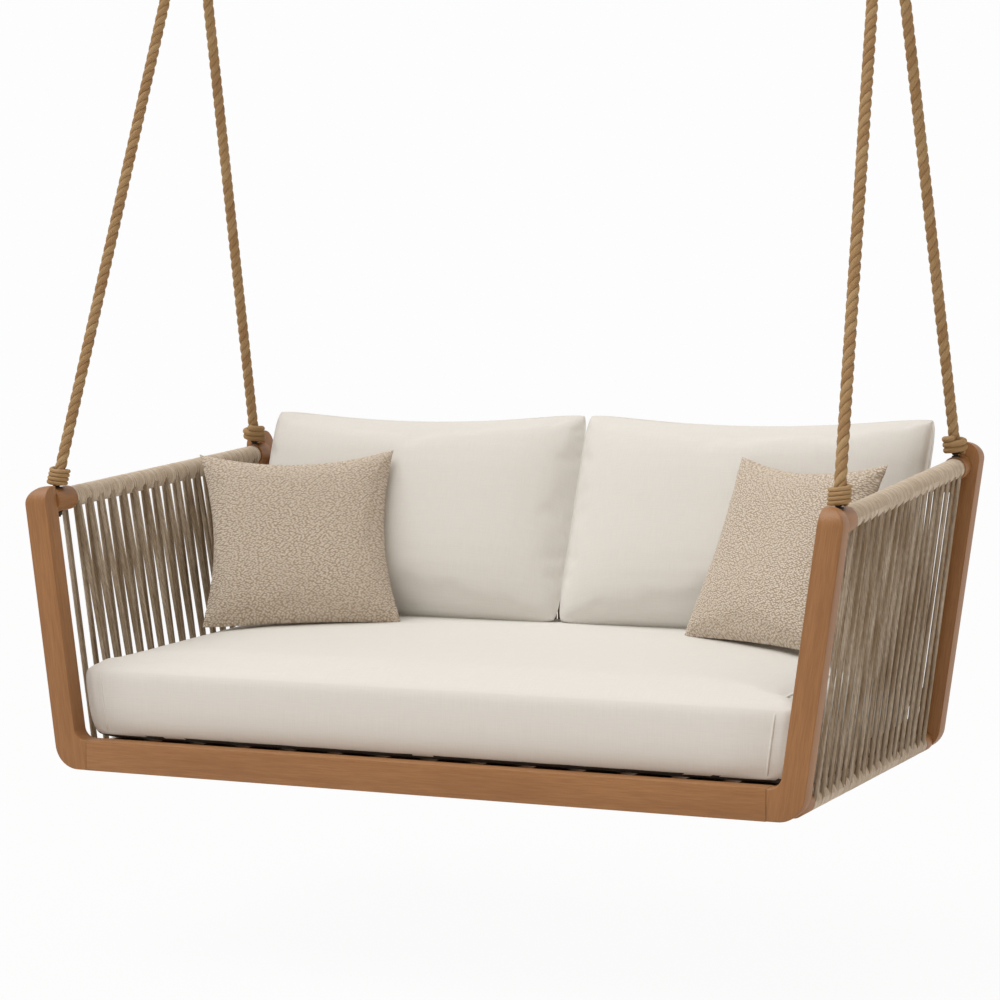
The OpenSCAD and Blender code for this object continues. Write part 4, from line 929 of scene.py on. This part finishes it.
seat = seatForm("seat_cushion_cover", seatLook)
under = [v.index for v in seat.data.vertices if v.co.z < bedOrigin.z + seatLook["base"] + 0.006]
inflate(seat, seatLook, outerShell("seat_cushion"), under)
finishCushion(seat, linenWeave, "seat_cushion", "seat_cushion")
# The front corners press out past the posts where no cord holds them in,
# and the fabric is gathered a little at the end seams
for v in seat.data.vertices:
    p = v.co - bedOrigin
    side = 1 if p.x > 0 else -1
    free = (1 - smoothStep(0.100, 0.122, p.y)) * smoothStep(0.74, 0.79, abs(p.x))
    push = side * seatLook["cornerPush"] * free
    rise = seatLook["frontRise"] * (1 - smoothStep(0.060, 0.125, p.y)) * (1 - smoothStep(0.075, 0.150, p.z))
    seamX = seatLook["endSeam"] + leanTan * min(p.z - seatLook["base"], seatLook["edge"])
    away = abs(abs(p.x) - seamX)
    gather = math.exp(-away / 0.022) * math.sin((p.y + p.z) * 2 * math.pi / 0.047 + 3 * noise.noise(p * 9)) * 0.0009
    v.co += v.normal * gather * smoothStep(0.10, 0.16, p.z) + Vector((push, 0, rise))
seat.data.update()
# the underside faces take the dark cloth: painted shade under the seat
seat.data.materials.append(seatShadeLining)
for face in seat.data.polygons:
    if face.normal.z < -0.6 and face.center.z < bedOrigin.z + 0.10:
        face.material_index = 1
surface = BVHTree.FromPolygons([v.co for v in seat.data.vertices], [list(f.vertices) for f in seat.data.polygons])
for side, word in ((-1, "left"), (1, "right")):
    line, outward = [], []
    deep = (seatLook["depth"] - seatLook["front"] - seatLook["rear"]) / 2
    for k in range(seatLook["weltPoints"]):
        angle = 2 * math.pi * k / seatLook["weltPoints"]
        seamX = seatLook["endSeam"] - 0.002
        target = Vector((0, math.cos(angle) * 1.3, math.sin(angle) * 0.35))
        origin = atBed(side * (seamX + 0.010), seatLook["front"] + deep, 0.135)
        hit, normal, face, distance = surface.ray_cast(origin + target, -target)
        x = side * (seamX + leanTan * min(max(hit.z - bedOrigin.z - seatLook["base"], 0), seatLook["edge"]))
        again, normal, face, distance = surface.ray_cast(Vector((x, hit.y, hit.z)) + target * 0.15, -target)
        line.append(again)
        outward.append(normal)
    for turn in range(6):  # takes out the kinks that the ray casts leave
        line = [(line[k - 1] + 2 * line[k] + line[(k + 1) % len(line)]) / 4 for k in range(len(line))]
    addWelt("seat_cushion_welt_" + word, line, outward, seatLook["welt"], "seat_cushion", linenWeave)
print("seat cushion filled")


# ---- what the other CAD nodes are made of ----
def zincSteel(name, colour, roughness, flake="B9BCBE"):
    # Hot-dipped steel: dull grey with a faint crystal mottling
    material, tree, shader = newMaterial(name)
    place = addNode(tree, "ShaderNodeTexCoord")
    flakes = addNode(tree, "ShaderNodeTexVoronoi", {"Scale": 220.0}, {"Vector": place.outputs["Object"]})
    tone = addNode(tree, "ShaderNodeMix", {"data_type": "RGBA", 6: hexColour(colour), 7: hexColour(flake)},
            {0: flakes.outputs["Distance"]})
    scratches = addNode(tree, "ShaderNodeTexNoise", {"Scale": 600.0, "Detail": 3.0},
            {"Vector": place.outputs["Object"]})
    bump = addNode(tree, "ShaderNodeBump", {"Strength": 0.15, "Distance": 0.0003},
            {"Height": scratches.outputs["Fac"]})
    finishShader(tree, shader, tone, bump, {"Metallic": 1.0, "Roughness": roughness})
    return material


def grainyFill(name, light, dark, scale, roughness):
    # Foam, fibre or moulded nylon: one tone broken by fine cells or grain
    material, tree, shader = newMaterial(name)
    place = addNode(tree, "ShaderNodeTexCoord")
    cells = addNode(tree, "ShaderNodeTexNoise", {"Scale": scale, "Detail": 4.0}, {"Vector": place.outputs["Object"]})
    tone = addNode(tree, "ShaderNodeMix", {"data_type": "RGBA", 6: hexColour(dark), 7: hexColour(light)},
            {0: cells.outputs["Fac"]})
    bump = addNode(tree, "ShaderNodeBump", {"Strength": 0.3, "Distance": 0.001}, {"Height": cells.outputs["Fac"]})
    finishShader(tree, shader, tone, bump, {"Roughness": roughness})
    return material


galvanised = zincSteel("galvanisedSteel", "8F9396", 0.45)
# dark brown steel for the rope terminals, end pins and eyebolt under the knots: painted shade
knotShadeSteel = zincSteel("steelPaintedShade", "2E2A26", 0.65, "4A443D")
stainless = zincSteel("stainlessScrews", "A6A8AA", 0.3)
foamCells = grainyFill("openCellFoam", "F0E8C8", "DDD2A8", 500.0, 0.9)
fibreFill = grainyFill("polyesterFibre", "F6F4EF", "E2DED6", 260.0, 0.95)
nylonGrain = grainyFill("mouldedNylon", "EDEBE4", "DCD9CF", 900.0, 0.5)
steelNodes = ("ceiling_plate", "swing_pins", "hanger", "sway_pin", "yoke", "thimble", "rope_terminals", "end_pins",
        "eyebolt")
for name, node in cad.items():
    if name.startswith(steelNodes):
        useMaterial(node, knotShadeSteel if name.startswith(("rope_terminals", "end_pins", "eyebolt")) else galvanised)
        smoothShade(node, 30)
    elif name == "seat_screws":
        useMaterial(node, stainless)
    elif name.startswith("swing_bush"):
        useMaterial(node, nylonGrain)
    elif name == "seat_core":
        useMaterial(node, foamCells)
    elif name.startswith("back_core"):
        useMaterial(node, fibreFill)

# ---- floor and light ----
studio = {"floor": -0.42, "size": 40, "world": 0.52, "tint": "FFF2E4", "sun": 2.05, "sunTurn": (15.3, -19.2, 0),
        "sunSoft": 50,
          "sunColour": (0.965, 0.985, 1.0), "white": "FDFDFD", "floorGlow": 0.97}
bpy.ops.mesh.primitive_plane_add(size=studio["size"], location=atBed(0, 0, studio["floor"]))
floor = bpy.context.object
floor.name = "studioFloor"
floorPaint, tree, shader = newMaterial("paleFloor")
shader.inputs["Base Color"].default_value = hexColour("F2F2F2")
shader.inputs["Roughness"].default_value = 0.9
glow = addNode(tree, "ShaderNodeEmission", {"Color": hexColour(studio["white"]), "Strength": 1.0})
path = addNode(tree, "ShaderNodeLightPath")
seen = addNode(tree, "ShaderNodeMath", {"operation": "MULTIPLY", 1: studio["floorGlow"]},
        {0: path.outputs["Is Camera Ray"]})
blendFloor = addNode(tree, "ShaderNodeMixShader", {}, {0: seen.outputs[0], 1: shader.outputs[0], 2: glow.outputs[0]})
tree.links.new(blendFloor.outputs[0], [n for n in tree.nodes if n.type == "OUTPUT_MATERIAL"][0].inputs["Surface"])
useMaterial(floor, floorPaint)

world = bpy.data.worlds.new("studioWhite")
bpy.context.scene.world = world
world.use_nodes = True
tree = world.node_tree
tree.nodes.clear()
room = addNode(tree, "ShaderNodeBackground", {"Color": hexColour(studio["tint"]), "Strength": studio["world"]})
backdrop = addNode(tree, "ShaderNodeBackground", {"Color": hexColour(studio["white"]), "Strength": 1.0})
path = addNode(tree, "ShaderNodeLightPath")
seenOrGloss = addNode(tree, "ShaderNodeMath", {"operation": "MAXIMUM"},
        {0: path.outputs["Is Camera Ray"], 1: path.outputs["Is Glossy Ray"]})
seenAll = addNode(tree, "ShaderNodeMath", {"operation": "MAXIMUM"},
        {0: seenOrGloss.outputs[0], 1: path.outputs["Is Transmission Ray"]})
blendSky = addNode(tree, "ShaderNodeMixShader", {},
        {0: seenAll.outputs[0], 1: room.outputs[0], 2: backdrop.outputs[0]})
addNode(tree, "ShaderNodeOutputWorld", links={"Surface": blendSky.outputs[0]})

bpy.ops.object.light_add(type="SUN", location=atBed(-2, -3, 4), rotation=[math.radians(a) for a in studio["sunTurn"]])
sun = bpy.context.object
sun.name = "softKey"
sun.data.energy = studio["sun"]
sun.data.color = studio["sunColour"]
sun.data.angle = math.radians(studio["sunSoft"])
bpy.context.scene.view_settings.view_transform = "Standard"
print("studio lit")
